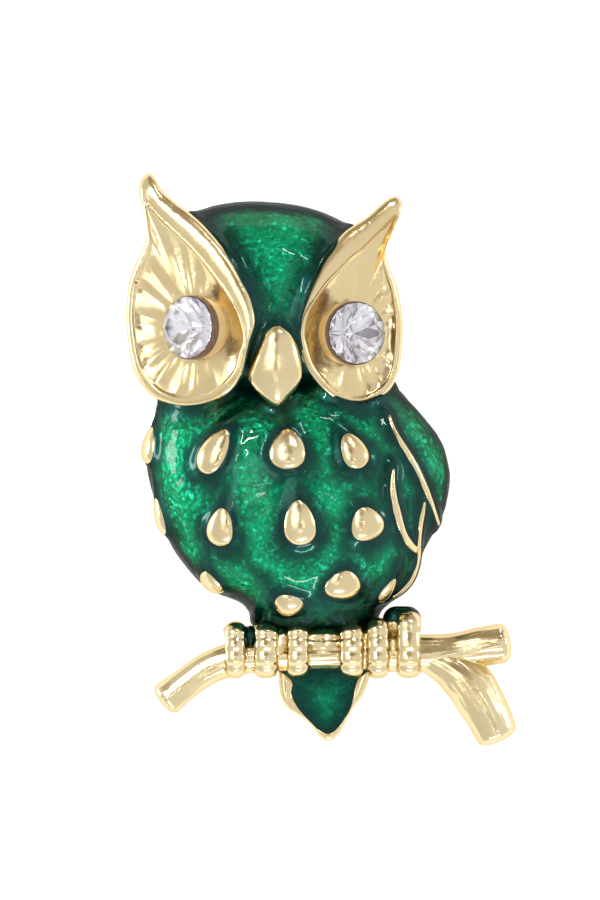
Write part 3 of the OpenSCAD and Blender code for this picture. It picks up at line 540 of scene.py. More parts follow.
def dish(side):
    rim, crest = dish_rows[side][:, :2], dish_rows[side][:, 2:]
    seat_mid = np.array([-STONE_LIFT * math.sin(STONE_TILT[side]), 0.0])
    seat = seat_mid + unit(crest - seat_mid) * (STONE_D / 2 + SEAT_ROOM)
    fall = np.linalg.norm(rim - crest, axis=1)
    angle = np.arctan2(crest[:, 1], crest[:, 0])
    cut, off = grooves(side, angle, 31 + side)
    petal = PETAL_SWELL * (np.cos(np.minimum(off / PETAL_REACH, 1) * math.pi) - 1) / -2
    outer = np.clip(1.0 + 1.6 * np.cos(angle), 0.12, 1)
    cut, petal = cut * outer, petal * outer

    lip = CREST_LIP + RIM_LIP * fall
    rings = [dish_ring(seat, np.full(len(rim), DISH_T + 0.04)),
             dish_ring(0.96 * crest, np.full(len(rim), DISH_T)),
             dish_ring(mix(rim, crest, 0.02), lip + EDGE_T + 0.25),
             dish_ring(rim, lip + EDGE_T)]
    # over the edge and along the rounded band, then over the crease and the bead
    for f, down in BAND:
        rings.append(dish_ring(mix(rim, crest, f), lip * down + 0.02 * fall))
    inward = unit(seat - crest)
    for out, down in BEAD:
        rings.append(dish_ring(crest - inward * np.minimum(out, BEAD_SHARE * fall)[:, None],
                               down * np.clip(fall / FULL_BEAD, 0.12, 1)))
    # down into the bowl, with the grooves and the swelling between them
    start = crest - inward * BEAD[-1][0]
    for t in np.linspace(0, 1, GROOVE_LEVELS)[1:]:
        bowl = BOWL_START + (DISH_HOLLOW - BOWL_START) * (1 - (1 - t) ** 2.1)
        window = np.clip(t / FADE_IN, 0, 1) * np.clip((1.02 - t) / FADE_OUT, 0, 1)
        deepest = GROOVE_DEPTH[side] * (0.45 + 0.55 * math.sin(math.pi * t) ** 0.5)
        rings.append(dish_ring(mix(start, seat, t), bowl + window * (deepest * cut - petal)))
    x, z = seat_mid[0], dish_plane(seat_mid[0])
    return dish_skin(f"dish{side}", side, rings, [x, 0, z - DISH_T - 0.06], [x, 0, z - DISH_HOLLOW])


# %% [markdown]
# ## Beak
#
# The beak is a drop-shaped boss with a soft ridge down its middle. It is a dome again, but its
# foot climbs towards the forehead, so every ring is tipped by the same slope.

# %% Beak
beak_loop = smooth_loop(BEAK * (BEAK_W, BEAK_H), 8)
BEAK_EDGE, BEAK_SLOPE, BEAK_SWELL = 7.30, 0.10, 1.05
BEAK_RIDGE, BEAK_FOOT = 0.05, 2.5


def beak():
    top = [0.0, -0.06 * BEAK_H]
    rings = [np.c_[0.97 * beak_loop, BEAK_SLOPE * beak_loop[:, 1] - BEAK_FOOT],
             np.c_[beak_loop, BEAK_SLOPE * beak_loop[:, 1] - 0.8]]
    edge = np.linalg.norm(beak_loop, axis=1, keepdims=True)
    plain = oval((0.44 * BEAK_W, 0.46 * BEAK_H), beak_loop)[:, None]
    for s in even_levels(48):
        p = beak_loop / edge * s * (edge * s * s + plain * (1 - s * s)) + np.array(top) * (1 - s)
        ridge = BEAK_RIDGE * np.exp(-(p[:, 0] / 0.50) ** 2) * (1 - s) ** 0.6
        rings.append(np.c_[p, BEAK_SLOPE * p[:, 1] + BEAK_SWELL * (1 - s ** 2.2) ** 0.52 + ridge])
    rings = np.stack(rings) + [*beak_at, BEAK_EDGE]
    high = [beak_at[0], beak_at[1] + top[1],
            BEAK_EDGE + BEAK_SLOPE * top[1] + BEAK_SWELL + BEAK_RIDGE]
    return new_piece("beak", *skin([*beak_at, BEAK_EDGE - BEAK_FOOT], rings, high))


# %% [markdown]
# ## Cups
#
# A stone sits in a low cup whose upper wall is painted dark brown: painted shade, for the side of
# the gold bezel that lies in shadow beside the stone, which shows as a dark crescent. The cup leans
# outwards with its stone. It is made as a piece of its own, because its finish differs, and because
# only its side is ever seen.

# %% Cups under the stones
def stone_axis(side):
    """Middle of the girdle, and the stone's own x, y and z ways, on the flat drawing."""
    t, s = STONE_TILT[side], OUTWARDS[side]
    z = STONE_LIFT * (math.sin(t) * math.tan(DISH_TILT) + math.cos(t)) - DISH_HOLLOW
    at = np.array([*stone_at[side], dish_level[side] + z])
    return at, np.array([s * math.cos(t), 0, -math.sin(t)]), np.array([0, 1.0, 0]), \
        np.array([s * math.sin(t), 0, math.cos(t)])


def stone_ring(side, radius, height, n, phase=0.0):
    """A ring of points about a stone's axis."""
    at, ax, ay, az = stone_axis(side)
    a = OUTWARDS[side] * (np.arange(n) * 2 * math.pi / n + phase)
    return at + radius * (np.cos(a)[:, None] * ax + np.sin(a)[:, None] * ay) + height * az


CUP_R, CUP_LOW, CUP_HIGH = 2.44, -1.75, -0.10
# Height of the band at the top of each cup that is painted dark brown as shade
SHADE_BAND_H = [0.85, 0.62]


def turned_cup(side, name):
    """A cup turned about its stone's axis, from pairs of radius and height, low to high."""
    edge = -SHADE_BAND_H[side]
    profile = [(2.30, CUP_LOW), (2.40, -1.70), (2.41, edge), (CUP_R, edge + 0.03),
               (CUP_R, -0.22), (2.43, -0.14), (2.39, CUP_HIGH)]
    at, _, _, az = stone_axis(side)
    rings = [stone_ring(side, r, h, 96) for r, h in profile]
    return new_piece(name, *skin(at + CUP_LOW * az, rings, at + CUP_HIGH * az))


cups = [turned_cup(0, "left_cup"), turned_cup(1, "right_cup")]
for cup in cups:
    report(cup)

# %% [markdown]
# ## One tree for everything that follows a path
#
# Ribs, branch, twig and toes are all oval bars along a path. The tree below takes the path as
# loose points that carry their own frame: across, up, and the two half widths. It bends a grid
# round those points, one row of the grid to each point, and a noise along the bar can press
# bark grooves into it. Sampling by index keeps rows and points in step, which a plain
# Curve to Mesh can't do when the section changes its shape along the way.

# %% Helpers for node trees
def fill(slot, value):
    """Gives an input a link, a colour or a plain value."""
    if isinstance(value, bpy.types.NodeSocket):
        slot.id_data.links.new(value, slot)
    elif value is not None:
        slot.default_value = (*value, 1) if slot.type == "RGBA" else value


def give(made, **named):
    """Fills inputs by name, so that coat_ior stands for Coat IOR."""
    for key, value in named.items():
        fill(made.inputs[key.replace("_", " ").title().replace("Ior", "IOR")], value)


def node(tree, kind, *values, settings=(), **named):
    """A new node with its settings, and its inputs filled in order or by name."""
    made = tree.nodes.new(kind)
    for key, value in dict(settings).items():
        setattr(made, key, value)
    for slot, value in zip(made.inputs, values):
        fill(slot, value)
    give(made, **named)
    return made


def calc(operation, *values, clamp=False):
    """A Math node in the tree of the first socket among the values."""
    tree = next(value.id_data for value in values if isinstance(value, bpy.types.NodeSocket))
    return node(tree, "ShaderNodeMath", *values,
                settings={"operation": operation, "use_clamp": clamp}).outputs[0]


def vector_calc(operation, a, b=None, **named):
    return node(a.id_data, "ShaderNodeVectorMath", a, b, settings={"operation": operation},
                **named).outputs[0]


def position(tree):
    """The three parts of the position of each point."""
    at = tree.nodes.new("GeometryNodeInputPosition").outputs[0]
    return node(tree, "ShaderNodeSeparateXYZ", at).outputs


def named_attribute(tree, name, kind):
    return node(tree, "GeometryNodeInputNamedAttribute", name,
                settings={"data_type": kind}).outputs[0]


def new_tree(name, takes, gives, **numbers):
    """A geometry tree. It takes a geometry, numbers and a material, and gives a geometry."""
    tree = bpy.data.node_groups.new(name, "GeometryNodeTree")
    add = tree.interface.new_socket
    add(takes, in_out="INPUT", socket_type="NodeSocketGeometry")
    for word, value in numbers.items():
        made = add(word.replace("_", " ").capitalize(), in_out="INPUT", socket_type=(
            "NodeSocketInt" if isinstance(value, int) else "NodeSocketFloat"))
        made.default_value = value
    add("Material", in_out="INPUT", socket_type="NodeSocketMaterial")
    add(gives, in_out="OUTPUT", socket_type="NodeSocketGeometry")
    return tree, tree.nodes.new("NodeGroupInput").outputs


def end_tree(tree, geometry, into):
    """Ends a tree: makes instances real and sets the material."""
    real = node(tree, "GeometryNodeRealizeInstances", geometry)
    paint = node(tree, "GeometryNodeSetMaterial", real.outputs[0], material=into["Material"])
    node(tree, "NodeGroupOutput", paint.outputs[0])
    return tree


# %% Geometry Nodes: a bar along a path
def bar_tree():
    tree, into = new_tree("Bar along a path", "Path", "Bar", sides=24, groove_depth=0.0,
                          grooves_round=3.0, grooves_along=1.0, seed=1.0)

    count = node(tree, "GeometryNodeAttributeDomainSize", into["Path"]).outputs["Point Count"]
    grid = node(tree, "GeometryNodeMeshGrid", vertices_x=calc("ADD", into["Sides"], 1),
                vertices_y=count)
    across, along, _ = position(tree)
    angle = calc("MULTIPLY", calc("ADD", across, 0.5), 2 * math.pi)
    row = calc("ROUND", calc("MULTIPLY", calc("ADD", along, 0.5), calc("SUBTRACT", count, 1)))

    def sampled(name, kind):
        """What the path's point of the same row holds: its position, or an attribute."""
        field = named_attribute(tree, name, kind) if name else \
            tree.nodes.new("GeometryNodeInputPosition").outputs[0]
        return node(tree, "GeometryNodeSampleIndex", settings={"data_type": kind},
                    geometry=into["Path"], value=field, index=row).outputs[0]

    cos, sin = calc("COSINE", angle), calc("SINE", angle)
    bark = node(tree, "ShaderNodeCombineXYZ", calc("MULTIPLY", cos, into["Grooves round"]),
                calc("MULTIPLY", sin, into["Grooves round"]),
                calc("MULTIPLY", sampled("along", "FLOAT"), into["Grooves along"]))
    noise = node(tree, "ShaderNodeTexNoise", settings={"noise_dimensions": "4D"},
                 vector=bark.outputs[0], w=into["Seed"], scale=1.0, detail=3.0)
    grow = calc("ADD", 1.0, calc("MULTIPLY", calc("SUBTRACT", noise.outputs[0], 0.5),
                                 into["Groove depth"]))

    def pushed(way, half, wave):
        """How far a point stands out along one way of the path's own frame."""
        scale = calc("MULTIPLY", calc("MULTIPLY", wave, grow), sampled(half, "FLOAT"))
        return vector_calc("SCALE", sampled(way, "FLOAT_VECTOR"), scale=scale)

    out = vector_calc("ADD", pushed("across", "half_w", cos), pushed("up", "half_h", sin))
    place = vector_calc("ADD", sampled("", "FLOAT_VECTOR"), out)
    put = node(tree, "GeometryNodeSetPosition", geometry=grid.outputs["Mesh"], position=place)
    close = node(tree, "GeometryNodeMergeByDistance", geometry=put.outputs[0], distance=0.0005 * MM)
    return end_tree(tree, close.outputs[0], into)


def grown(obj, tree, **values):
    """Runs a tree on an object and keeps the result as its plain mesh."""
    mod = obj.modifiers.new(tree.name, "NODES")
    mod.node_group = tree
    for item in tree.interface.items_tree:
        word = item.name.replace(" ", "_").lower()
        if item.in_out == "INPUT" and word in values:
            mod[item.identifier] = values[word]
    bpy.context.view_layer.update()
    mesh = bpy.data.meshes.new_from_object(obj.evaluated_get(bpy.context.evaluated_depsgraph_get()))
    obj.modifiers.clear()
    obj.data = mesh
    mesh.polygons.foreach_set("use_smooth", [True] * len(mesh.polygons))
    return obj


BAR = bar_tree()


def bar(name, points, across, up, half_w, half_h, sides=24, **values):
    """A bar along flat points. Its ways and half widths go in as attributes of the points."""
    points = np.asarray(points, float)
    path = new_piece(name, points, [])
    along = np.r_[0, np.cumsum(np.linalg.norm(np.diff(points, axis=0), axis=1))]
    keep(path, "along", along)
    keep(path, "half_w", np.asarray(half_w) * MM)
    keep(path, "half_h", np.asarray(half_h) * MM)
    for word, ways in (("across", across), ("up", up)):
        keep(path, word, np.broadcast_to(lay_way(ways), points.shape))
    return grown(path, BAR, sides=sides, **values)


UP = (0, 0, 1)


def tangents(points):
    p = np.asarray(points, float)
    return unit(np.vstack([p[1] - p[0], p[2:] - p[:-2], p[-1] - p[-2]]))


print("tree:", BAR.name, "with", len(BAR.nodes), "nodes")

# %% [markdown]
# ## Ribs of the wing
#
# Three thin raised wires mark the folded wing. Each lies along the breast's surface and leans
# out with it, so the path takes its height and its up way from the dome.

# %% Ribs
RIB_SUNK, RIB_PROUD = 0.50, 0.15


def rib(name, rows):
    rows = smooth_path(rows * (BODY_W, BODY_H, 1.2 * RIB_W / 2), 6)
    up = body_normal(rows[:, :2])
    half_h = (ENAMEL_T + RIB_RISE + RIB_SUNK) / 2
    mid = on_dome(rows[:, :2], body_z) + up * (RIB_RISE + RIB_PROUD - half_h)
    half_w = rows[:, 2].copy()
    half_w[[0, -1]] = 0
    return bar(name, mid, unit(np.cross(up, tangents(mid))), up, half_w,
               np.where(half_w > 0, half_h, 0), 20, groove_depth=0.10, grooves_round=1.0,
               grooves_along=0.8, seed=2.0)


ribs = [rib(n, rows) for n, rows in (("outer_rib", OUTER_RIB), ("inner_rib", INNER_RIB),
                                     ("forked_rib", FORKED_RIB))]

# %% [markdown]
# ## Branch and twig
#
# The branch is modelled like a real one in small: a slightly crooked bar, thicker at its cut
# ends, with bark grooves along it. The noise in the tree is stretched along the path, which
# turns its blobs into grooves.

# %% Branch and twig
# How far a cut end bulges, as a share of its radius, and the angles of its rings
END_BULGE, END_ANGLES = 0.47, [18, 36, 54, 70, 82, 90]


def limb(name, rows, seed):
    rows = smooth_path(rows * (BRANCH_L, BRANCH_L, BRANCH_D) + (*branch_at, 0), 8)
    ends = []
    for end, near in ((rows[0], rows[1]), (rows[-1], rows[-2])):
        way = unit(end[:2] - near[:2])
        ends.append([np.r_[end[:2] + way * END_BULGE * math.sin(a) * end[2],
                           end[2] * math.cos(a) ** 0.7] for a in np.radians(END_ANGLES)])
    rows = np.vstack([ends[0][::-1], rows, ends[1]])
    mid, r = level(rows[:, :2], BRANCH_Z), rows[:, 2].copy()
    r[[0, -1]] = 0
    return bar(name, mid, np.cross(UP, tangents(mid)), UP, r, r, 96,
               groove_depth=0.17, grooves_round=3.4, grooves_along=0.24, seed=seed)


limbs = [limb("branch", MAIN_BRANCH, 3.7), limb("twig", LOWER_TWIG, 8.2)]

# %% [markdown]
# ## Toes
#
# Six toes grip the branch. Seen from the front each is a short stack of knuckles, so its half
# widths swell and shrink along the half ring that it makes over the branch.

# %% Toes and the thick knuckle
# Up and out from the branch's centre as shares of its thickness, and how thick the toe is there
KNUCKLES = [(0.42, -0.34, 0.50), (0.60, -0.10, 0.90), (0.63, 0.14, 1.05), (0.585, 0.34, 1.22),
            (0.47, 0.50, 1.20), (0.36, 0.56, 0.82), (0.25, 0.565, 1.05), (0.13, 0.59, 1.08),
            (0.02, 0.58, 0.82), (-0.09, 0.575, 1.04), (-0.21, 0.56, 1.08), (-0.32, 0.50, 0.82),
            (-0.42, 0.42, 1.02), (-0.50, 0.30, 1.06), (-0.555, 0.14, 0.82), (-0.56, -0.04, 0.9),
            (-0.50, -0.22, 0.45)]


def toe(index, across, width, lift):
    up, forward, swell = smooth_path(np.array(KNUCKLES, float), 5).T
    mid = np.c_[np.full(len(up), across * BODY_W),
                branch_at[1] + (up + lift * np.clip(2.2 * up - 0.3, 0, 1)) * BRANCH_D,
                BRANCH_Z + forward * BRANCH_D]
    out = unit(np.c_[np.zeros(len(up)), 0.8 * up, forward + 0.10])
    half_w = (0.66 + 0.34 * swell) * width * TOE_W / 2
    half_h = swell * TOE_T
    half_w[[0, -1]] = half_h[[0, -1]] = 0
    return bar(f"toe{index}", mid, (1, 0, 0), out, half_w, half_h, 28,
               groove_depth=0.10, grooves_round=1.4, grooves_along=0.9, seed=float(index))


toes = [toe(i, *row) for i, row in enumerate(TOES)]


def rounded_bar(name, x0, x1, y, z, r, sides=40):
    """A bar across with round ends, for the thick knuckle and for the enamel on the feet."""
    a = np.radians(np.linspace(0, 90, 9))
    xs = np.r_[x0 - r * np.cos(a), x1 + r * np.sin(a)]
    rs = np.r_[r * np.sin(a), r * np.cos(a)]
    rs[[0, -1]] = 0
    n = len(xs)
    mid = np.c_[xs, np.full(n, y), np.full(n, z)]
    return bar(name, mid, (0, 1, 0), UP, rs, rs, sides)


palm = rounded_bar("palm", -0.06 * BODY_W, 0.33 * BODY_W, branch_at[1] + 0.20 * BRANCH_D,
                   BRANCH_Z + 0.09 * BRANCH_D, 0.48 * BRANCH_D)
heel = rounded_bar("heel", HEEL[0] * BODY_W, HEEL[1] * BODY_W, branch_at[1] + HEEL[2] * BRANCH_D,
                   BRANCH_Z, HEEL[3] * BRANCH_D)

# %% [markdown]
# ## Drops
#
# Twelve polished drops stand on the breast. They repeat one form at different sizes, so a tree
# puts instances of it on points. Each point carries its turn and its size. The form is a
# sphere drawn narrower towards its upper end, like a seed.

# %% Geometry Nodes: seeds on points
def seed_tree():
    tree, into = new_tree("Seeds on points", "Points", "Seeds", narrowing=0.2, segments=40)

    ball = node(tree, "GeometryNodeMeshUVSphere", segments=into["Segments"], rings=28, radius=1.0)
    x, y, z = position(tree)
    narrow = calc("SUBTRACT", 1.0, calc("MULTIPLY", into["Narrowing"], calc("ADD", y, 0.35)))
    place = node(tree, "ShaderNodeCombineXYZ", calc("MULTIPLY", x, narrow), y,
                 calc("MULTIPLY", z, narrow))
    put = node(tree, "GeometryNodeSetPosition", geometry=ball.outputs["Mesh"],
               position=place.outputs[0])
    on = node(tree, "GeometryNodeInstanceOnPoints", points=into["Points"], instance=put.outputs[0],
              rotation=named_attribute(tree, "turn", "FLOAT_VECTOR"),
              scale=named_attribute(tree, "size", "FLOAT_VECTOR"))
    return end_tree(tree, on.outputs[0], into)


drop_rows = np.array(DROPS, float) * (BODY_W, BODY_H, DROP_W, DROP_W, 1)
drop_mid = on_dome(drop_rows[:, :2], body_z)
drop_out = body_normal(drop_rows[:, :2])
drop_lean = np.radians(drop_rows[:, 4])
lean_way = level(np.c_[np.sin(drop_lean), np.cos(drop_lean)], 0)
drop_up = unit(lean_way - drop_out * (lean_way * drop_out).sum(1)[:, None])


NARROWING = 0.24
# A drop's half size as a share, with a little over because its foot is sunk, how deep its
# middle lies, and what is added to its rise
DROP_HALF, DROP_SUNK, DROP_FOOT = 0.54, 0.05, 0.16


def drops():
    points = new_piece("drops", drop_mid - drop_out * DROP_SUNK, [])
    turns = [Matrix([np.cross(up, out), up, out]).transposed().to_euler("XYZ")
             for out, up in zip(lay_way(drop_out), lay_way(drop_up))]
    rise = np.full(len(drop_rows), (DROP_RISE + DROP_FOOT) / DROP_HALF)
    size = DROP_HALF * np.c_[drop_rows[:, 2:4], rise] * MM
    size[:, 2] *= np.clip(drop_rows[:, 2] / DROP_W, 0.55, 1.1) ** 0.5
    keep(points, "turn", np.array(turns))
    keep(points, "size", size)
    return grown(points, seed_tree(), narrowing=NARROWING)


seeds = drops()
report(seeds)

# %% [markdown]
# ## Tail
#
# The tail is a thick plate behind the branch with three rounded lobes, and a pocket cut in its
# face for the enamel. Its top edge is rounded over, which takes a few rings close together.

# %% Tail with its pocket
tail_loop = smooth_loop(smooth_loop(TAIL * (TAIL_W, TAIL_H), 3), 3)
tail_loop = counter_clockwise(tail_loop) + tail_at
tail_field = counter_clockwise(smooth_loop(TAIL_FIELD * (TAIL_W, TAIL_H), 6)) + tail_at


def rounded_plate(name, loop, low, high, r, inset_low=0.0):
    """A plate over an outline, with a rounded upper edge and a narrower foot."""
    mid = loop.mean(0)
    way = (mid - loop) / np.linalg.norm(mid - loop, axis=1, keepdims=True)
    rings = [level(loop + way * inset_low, low), level(loop, low + inset_low)]
    for a in np.radians(np.linspace(0, 90, 8)):
        rings.append(level(loop + way * r * (1 - math.cos(a)), high - r + r * math.sin(a)))
    return new_piece(name, *skin([*mid, low], rings, [*mid, high]))


tail = fused("tail", rounded_plate("tail", tail_loop, 0, TAIL_T + 0.3, 0.45, 0.1),
             [prism("pocket", tail_field, TAIL_T - ENAMEL_T, 2 * TAIL_T)], "DIFFERENCE")

# %% [markdown]
# ## One casting
#
# All the metal parts so far are closed forms that reach into each other. A union turns them
# into the single casting that they really are, with no faces left inside.

# %% Webs, pads and the union
PAD_W, PAD_TOP = 3.4, 2.9
PAD_HALF_H = BAR_W / 2 + 0.4
toe_x = [row[0] * BODY_W for row in TOES]
# Webs of metal between the feet: from, to across, and height above the branch's middle
webs = [(-0.11 * BODY_W, 0.26 * BODY_W, body_bottom + 1.3 - branch_at[1]),
        (toe_x[0], toe_x[1], 0.55 * BRANCH_D), (toe_x[4], toe_x[5], HEEL[2] * BRANCH_D)]
web_pieces = [box_piece(f"web{i}", (x0, branch_at[1], 0.5), (x1, branch_at[1] + up, BRANCH_Z))
              for i, (x0, x1, up) in enumerate(webs)]
pad_x = [pin_x + s * (BAR_L - PAD_W) / 2 for s in (-1, 1)]
pads = [box_piece(f"pad{i}", (x - PAD_W / 2, PIN_UP - PAD_HALF_H, BAR_SUNK + GAP),
                  (x + PAD_W / 2, PIN_UP + PAD_HALF_H, PAD_TOP)) for i, x in enumerate(pad_x)]
casting = fused("owl_casting", shell, [
    dish(0), dish(1), beak(), *limbs, *web_pieces, *toes, palm, heel, tail, *pads, *ribs, seeds])
report(casting)

# %% [markdown]
# ## Enamel
#
# Enamel is poured between the raised parts and pulled up against them by surface tension, and it
# looks darker there because it is thicker. The green piece is a thin dome with a fine mesh, cut to
# the dishes. Each point then gets its distance to the nearest metal. That distance lifts the
# meniscus, and is kept as an attribute for the material to darken by, together with painted shade
# on sides that turn away and below the drops.

# %% Enamel fields
PROUD = 0.07


def thin_dome(name, dome_of, count):
    """The dome's outer half millimetre, above the bare rim. The ring at its foot is flat."""
    loop, belly, depth, at = dome_of
    less, foot = ENAMEL_T + 0.02, RIM_T + GAP
    out = dome_rings(loop, belly, depth, even_levels(count, foot_share(foot, depth), 0.01), -PROUD)
    low = dome_rings(loop, belly, depth,
                     even_levels(count // 3, foot_share(foot, depth - less), 0.01), less)
    rings = moved(low[::-1] + out, at)
    return new_piece(name, *skin([*at, depth - less], rings, [*at, depth + PROUD]))


def rooms():
    """What the dishes take out of an enamel field."""
    return [prism(f"room{side}", counter_clockwise(dish_outline(side, 0.06)), -5, 20)
            for side in (0, 1)]


def below(name, y):
    return box_piece(name, (-30, y - 40, -5), (30, y, 30))


body_field = thin_dome("body_glaze", (smooth_loop(body_loop, 9), *BODY_DOME[1:]), 110)
body_enamel = fused("body_glaze", body_field, [
    dome("skull_out", *HEAD_DOME, less=-0.02, sink=5, count=60), *rooms(),
    below("below", branch_at[1] + 0.2 * BRANCH_D)], "DIFFERENCE")
head_field = thin_dome("head_glaze", (smooth_loop(head_loop, 8), *HEAD_DOME[1:]), 80)
head_enamel = fused("head_glaze", head_field, [
    dome("breast_in", *BODY_DOME, less=ENAMEL_T - 0.1, sink=5, count=60), *rooms(),
    below("below", beak_at[1] - 0.75 * BEAK_H)], "DIFFERENCE")
report(body_enamel)
report(head_enamel)


def flat_points(obj):
    """The points of a piece, back on the flat drawing."""
    co = np.empty(3 * len(obj.data.vertices), np.float32)
    obj.data.vertices.foreach_get("co", co)
    p = co.reshape(-1, 3).astype(float) / MM + [CENTRE[0], CENTRE[1], 0]
    y = p[:, 1] * math.cos(TILT) + p[:, 2] * math.sin(TILT)
    z = -p[:, 1] * math.sin(TILT) + p[:, 2] * math.cos(TILT)
    return np.c_[p[:, 0], y + TAIL_TIP_Y, z]


def far_from(points, samples):
    tree = KDTree(len(samples))
    for i, s in enumerate(samples):
        tree.insert(s, i)
    tree.balance()
    return np.array([tree.find(p)[2] for p in points])


def dense(loop, step=0.12):
    loop = np.vstack([loop, loop[:1]])
    out = []
    for a, b in zip(loop[:-1], loop[1:]):
        n = max(1, int(np.linalg.norm(b - a) / step))
        out += [a + (b - a) * k / n for k in range(n)]
    return np.array(out)


# How fast the enamel grows shallower, and so lighter, away from each kind of metal
DISH_SLOPE, RIM_SLOPE, DROP_SLOPE, RIB_SLOPE, TOE_SLOPE = 0.42, 0.30, 0.62, 0.60, 0.35
# Half width of a rib in mm, and the top of a toe as a share of the branch's thickness
RIB_HALF, TOE_TOP = 0.36, 0.78


def edge_distance(p, height, loop, with_drops):
    """Distance to the nearest metal, for the meniscus, and the enamel's shallowness there, with
    painted shade that reaches further below each drop.
    """
    walls = [on_dome(dense(dish_outline(side)), height) for side in (0, 1)]
    dish = far_from(p, np.vstack(walls))
    far = np.minimum(dish, far_from(p, on_dome(dense(beak_loop + beak_at), height)))
    rim = far_from(p, on_dome(dense(loop), height))
    shallow_and_shaded = np.minimum(DISH_SLOPE * far, 0.06 + RIM_SLOPE * rim)
    if not with_drops:
        return dish, far, shallow_and_shaded
    for mid, out, up, row in zip(drop_mid, drop_out, drop_up, drop_rows):
        q = p - mid
        x, y = (q * np.cross(up, out)).sum(1), (q * up).sum(1)
        w, l = row[2] / 2 * (1 - NARROWING * (y / (row[3] / 2) + 0.35)), row[3] / 2
        r = np.hypot(x / np.maximum(w, 0.2), y / l)
        near = np.clip((r - 1) * np.minimum(np.maximum(w, 0.3), l), 0, None)
        far = np.minimum(far, near)
        # Painted shade: the dark band round a drop reaches further below it than above it
        shallow_and_shaded = np.minimum(shallow_and_shaded, (DROP_SLOPE + 0.18 * np.clip(y / l, -1, 1)) * near)
    for rows in (OUTER_RIB, INNER_RIB, FORKED_RIB):
        rows = smooth_path(rows * (BODY_W, BODY_H, RIB_W / 2), 10)
        near = np.clip(far_from(p, on_dome(rows[:, :2], height)) - RIB_HALF, 0, None)
        far, shallow_and_shaded = np.minimum(far, near), np.minimum(shallow_and_shaded, RIB_SLOPE * near)
    for across, width, lift in TOES:
        top = branch_at[1] + BRANCH_D * (TOE_TOP + lift)
        near = np.hypot(np.clip(np.abs(p[:, 0] - across * BODY_W) - width * TOE_W / 2, 0, None),
                        np.clip(p[:, 1] - top, 0, None))
        far, shallow_and_shaded = np.minimum(far, near), np.minimum(shallow_and_shaded, TOE_SLOPE * near)
    return dish, far, shallow_and_shaded


MENISCUS, MENISCUS_REACH = 0.17, 0.36
FILLET, FILLET_REACH = 0.30, 0.60
WAVES, WAVE_H = 26, 0.022
# The troughs beyond the meniscus and along the dishes: depth, distance from the metal, width
TROUGH, DISH_TROUGH = (0.035, 0.70, 0.30), (0.06, 1.35, 0.45)
# Painted shade: sides that turn away are painted darker and get a weaker coat: the z of the normal
# from which they grow lighter, and its span
BODY_SHADE_TURN, HEAD_SHADE_TURN, CLEAR_TURN = (0.22, 0.20), (0.40, 0.34), (0.45, 0.30)
# Points less than this below the dome's height belong to the outer side
OUTER_SKIN = 0.12


def hollow(far, deep, at, width):
    """A shallow trough at one distance from the metal."""
    return deep * np.exp(-((far - at) / width) ** 2)


def pour(obj, height, loop, with_drops, seed):
    """Lifts the meniscus, adds the slow waves of poured enamel, and keeps its shallowness, darkened
    by painted shade where the surface turns away, with a weaker coat there.
    """
    p = flat_points(obj)
    dish, far, shallow_and_shaded = edge_distance(p, height, loop, with_drops)
    outer = p[:, 2] > height(p[:, :2]) - OUTER_SKIN
    n = body_normal(p[:, :2]) if with_drops else unit(level(p[:, :2] - head_at, 0.4 * HEAD_W))
    rng = np.random.default_rng(seed)
    wave = np.zeros(len(p))
    for _ in range(WAVES):
        k = rng.normal(0, 1, 3) * rng.choice([0.9, 1.6, 2.6])
        wave += np.cos(p @ k + rng.uniform(0, 2 * math.pi)) / WAVES ** 0.5
    lift = MENISCUS * np.exp(-(far / MENISCUS_REACH) ** 1.5) - hollow(far, *TROUGH)
    fillet = FILLET * np.exp(-(dish / FILLET_REACH) ** 1.4)
    lift += WAVE_H * wave + fillet - hollow(dish, *DISH_TROUGH)
    p = p + n * (lift * outer)[:, None]
    obj.data.vertices.foreach_set("co", lay(p).astype(np.float32).ravel())
    obj.data.update()
    normal = np.empty(3 * len(p), np.float32)
    obj.data.vertices.foreach_get("normal", normal)

    # Painted shade: a share that falls from 1 where the surface turns away from straight up; it
    # darkens the enamel and weakens its coat
    def painted_turn_shade(start, span, least):
        return np.clip((normal[2::3] - start) / span, least, 1)

    # The kept depth is darkened by painted shade on turned-away sides
    keep(obj, "to_metal", shallow_and_shaded * painted_turn_shade(*(BODY_SHADE_TURN if with_drops else HEAD_SHADE_TURN), 0.1))
    keep(obj, "clear", painted_turn_shade(*CLEAR_TURN, 0.22))


pour(body_enamel, body_z, body_loop, True, 5)
pour(head_enamel, head_z, head_loop + head_at, False, 6)

# %% Enamel of the tail and of the feet
tail_enamel = rounded_plate("tail_glaze", tail_field, TAIL_T - ENAMEL_T + 0.01, TAIL_T + 0.22, 0.16)
p = flat_points(tail_enamel)
far = far_from([(x, y, 0) for x, y, _ in p], [(*q, 0) for q in dense(tail_field)])
# Painted shade: the tail's enamel is darker towards the top of its field, under the branch
far = np.minimum(0.62 * far, 0.30 * np.clip(tail_field[:, 1].max() - p[:, 1], 0, None))
keep(tail_enamel, "to_metal", far)
keep(tail_enamel, "clear", 1.0)


def drop_of_enamel(name, x, y, z, rx, ry, rz):
    """A flat round drop: an ellipsoid made of rings."""
    a = np.arange(40) * 2 * math.pi / 40
    rings = [level(np.c_[x + rx * math.cos(t) * np.cos(a), y + ry * math.cos(t) * np.sin(a)],
                   z + rz * math.sin(t)) for t in np.radians(np.linspace(-84, 84, 17))]
    return new_piece(name, *skin([x, y, z - rz], rings, [x, y, z + rz]))


